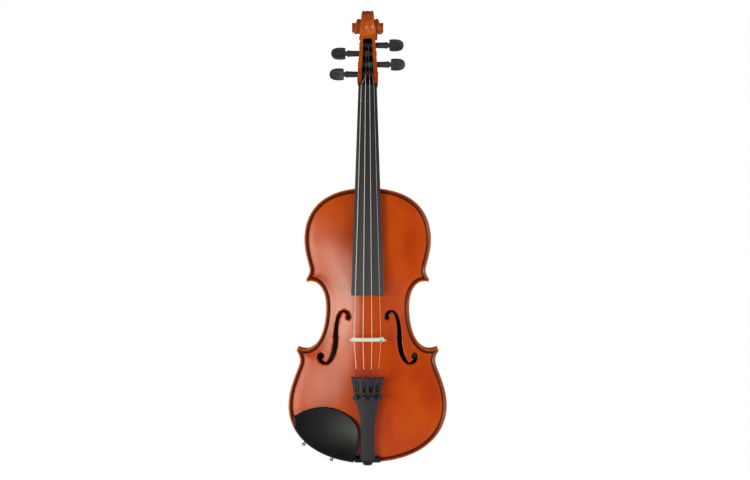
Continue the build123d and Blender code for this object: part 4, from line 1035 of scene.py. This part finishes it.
def chin_outline():
    """The free curve over the belly joined to the part of the belly's inset edge it cuts off."""
    free = np.concatenate([
        [(-18.8, -12)],
        bezier((-18.8, 0.6), (-14.2, 14), (-5.8, 37), (-14.6, 51.2)),
        bezier((-14.6, 51.2), (-21.9, 62.5), (-40, 72.4), (-56.4, 72.4)),
        bezier((-56.4, 72.4), (-72, 72.4), (-84, 67.5), (-94.6, 61.0)),
        bezier((-94.6, 61.0), (-95.6, 59.8), (-96.3, 58.6), (-96.2, 57.4)),
        [(-95.4, 45.0), (-112, 30), (-112, -12)],
    ])
    edge = inset(outline, chin_inset)
    return np.concatenate([edge[inside(edge, free)], free[inside(free, edge)]])


def chin_hollow(points):
    """Depth of the hollow: its floor less a parabola across and one along, steeper below."""
    x, z = points[:, 0] - bowl_middle[0], points[:, 1] - bowl_middle[1]
    return bowl_low - bowl_across * x ** 2 - np.where(z > 0, bowl_above, bowl_below) * z ** 2


def mould_chin_rest():
    """A closed shell: the hollow with a rounded rim above, the belly's shape below."""
    rim_loop = chin_outline()
    loops = [rim_loop, *[inset(rim_loop, row) for row in chin_rows]]
    flat, triangles = filled_region(loops, [], rim_loop, chin_rows[-1] + 0.8, 1.6)
    distance = nearest(flat, rim_loop)
    reach = np.clip(distance / chin_round, 0, 1)
    top = chin_hollow(flat) + chin_round * (1 - np.sqrt(1 - (1 - reach) ** 2))
    under = np.minimum(cork_top, belly_front(flat, nearest(flat, outline)) - chin_clearance)
    under = np.maximum(under, top + chin_wall)
    points, faces, _ = carved_plate(flat, triangles, np.zeros(len(flat), bool), top, under)
    make_piece("moulded_chin_rest", placed(points), faces, chin_black,
               stands_for=["chin_rest"])


mould_chin_rest()

# %% [markdown]
# ## Studio
#
# The violin hangs in front of white. The white is only what the camera, gloss and
# glass see. The object itself is lit by two soft lamps close together at the front
# left, by a weaker one from below and by a broad fill from the right; a fifth lamp
# lights the back. The low one and the fill are kept out of the gloss, so that the
# varnish shows one highlight on its left side. A pale floor lies below and fades to
# white away from the centre.

# %% Floor, world and lamps
def studio_floor(radius, drop):
    """A disc under the object: diffuse in the middle, white to the camera at its rim."""
    rings, spokes = 24, 96
    turn = np.linspace(0, 2 * np.pi, spokes, endpoint=False)
    reach = np.linspace(0.02, 1, rings)[:, None] * radius
    points = np.stack([reach * np.cos(turn), reach * np.sin(turn),
                       np.full((rings, spokes), lower_edge_z - drop)], -1).reshape(-1, 3)
    mesh = bpy.data.meshes.new("studio floor")
    faces = grid_faces(rings, spokes, close_columns=True)[:, ::-1].tolist()
    faces.append(list(range(spokes)))
    mesh.from_pydata(points.tolist(), [], faces)
    floor = bpy.data.objects.new("studio_floor", mesh)
    bpy.context.scene.collection.objects.link(floor)
    material, shader = new_material("pale floor")
    place = add_node(material, "TexCoord")
    from_centre = add_node(material, "VectorMath", {0: place.outputs["Object"]}, operation="LENGTH")
    fade = add_node(material, "MapRange", {
        "Value": from_centre.outputs["Value"], "From Min": radius * 0.45, "From Max": radius * 0.98},
        interpolation_type="SMOOTHSTEP")
    ray = add_node(material, "LightPath")
    seen = add_node(material, "Math", {0: ray.outputs["Is Camera Ray"], 1: fade.outputs[0]},
                    operation="MULTIPLY")
    white = add_node(material, "Emission", {"Color": (1, 1, 1, 1), "Strength": 1.0})
    both = add_node(material, "MixShader", {
        0: seen.outputs[0], 1: shader.outputs[0], 2: white.outputs[0]})
    output = [n for n in material.node_tree.nodes if n.bl_idname == "ShaderNodeOutputMaterial"][0]
    material.node_tree.links.new(both.outputs[0], output.inputs["Surface"])
    feed(material, shader, Base_Color=hex_colour("#EDEDED"), Roughness=0.8)
    floor.data.materials.append(material)


def studio_world(fill, front):
    """White to the camera; gloss sees white walls, a dim front and back and a dark ceiling."""
    world = bpy.data.worlds.new("studio white")
    bpy.context.scene.world = world
    world.use_nodes = True
    world.node_tree.nodes.clear()
    place = add_node(world, "TexCoord")
    direction = add_node(world, "SeparateXYZ", {0: place.outputs["Generated"]})
    away = add_node(world, "Math", {0: direction.outputs["Y"]}, operation="ABSOLUTE")
    mirrored = add_node(world, "MapRange", {
        "Value": away.outputs[0], "From Min": 0.9, "From Max": 0.35, "To Min": front, "To Max": 1.0})
    ceiling = add_node(world, "MapRange", {
        "Value": direction.outputs["Z"], "From Min": 0.1, "From Max": 0.6,
        "To Min": 1.0, "To Max": 0.1})
    around = add_node(world, "Math", {0: mirrored.outputs[0], 1: ceiling.outputs[0]},
                      operation="MULTIPLY")
    ray = add_node(world, "LightPath")
    gloss = add_node(world, "Math", {
        0: ray.outputs["Is Glossy Ray"], 1: ray.outputs["Is Transmission Ray"]}, operation="MAXIMUM")
    even = add_node(world, "Background", {"Strength": fill})
    walls = add_node(world, "Background", {"Strength": around.outputs[0]})
    white = add_node(world, "Background", {"Strength": 1.0})
    lit = add_node(world, "MixShader", {0: gloss.outputs[0], 1: even.outputs[0], 2: walls.outputs[0]})
    seen = add_node(world, "MixShader", {0: ray.outputs["Is Camera Ray"], 1: lit.outputs[0],
                                         2: white.outputs[0]})
    for background in (even, walls, white):
        background.inputs["Color"].default_value = (1, 1, 1, 1)
    add_node(world, "OutputWorld", {"Surface": seen.outputs[0]})


def soft_lamp(name, place, target, size, watts, colour, in_gloss):
    """A rectangular lamp at a place, aimed at a target, and seen in gloss or not."""
    data = bpy.data.lights.new(name, "AREA")
    data.shape = "RECTANGLE"
    data.size, data.size_y = size
    data.energy = watts
    data.color = hex_colour(colour)[:3]
    lamp = bpy.data.objects.new(name, data)
    lamp.location = place
    lamp.rotation_euler = (Vector(target) - Vector(place)).to_track_quat("-Z", "Y").to_euler()
    lamp.visible_glossy = in_gloss
    bpy.context.scene.collection.objects.link(lamp)


middle_height = lower_edge_z + 0.25
studio_floor(1.3, 0.24)
studio_world(0.24, 0.03)
lamps = [  # name, place and aim from the middle of the violin, size, watts, colour, in gloss
    ("key", (-1.42, -1.95, -0.1), -0.05, (0.6, 0.85), 21, "#FBFDEC", True),
    ("near key", (-0.8, -2.1, -0.2), -0.05, (0.45, 0.6), 5, "#FBFDEC", True),
    ("low", (-0.7, -1.6, -1.1), -0.1, (0.8, 0.6), 8, "#FFFFFF", False),
    ("fill", (1.7, -1.3, -0.3), -0.1, (1.2, 1.6), 20, "#FFFFFF", False),
    ("rear", (-0.8, 1.9, 0.3), 0.0, (1.2, 1.4), 26, "#FFFFFF", True),
]
for name, (x, y, rise), aim, *rest in lamps:
    soft_lamp(name, (x, y, middle_height + rise), (0, 0, middle_height + aim), *rest)
print("lamps:", len(lamps))
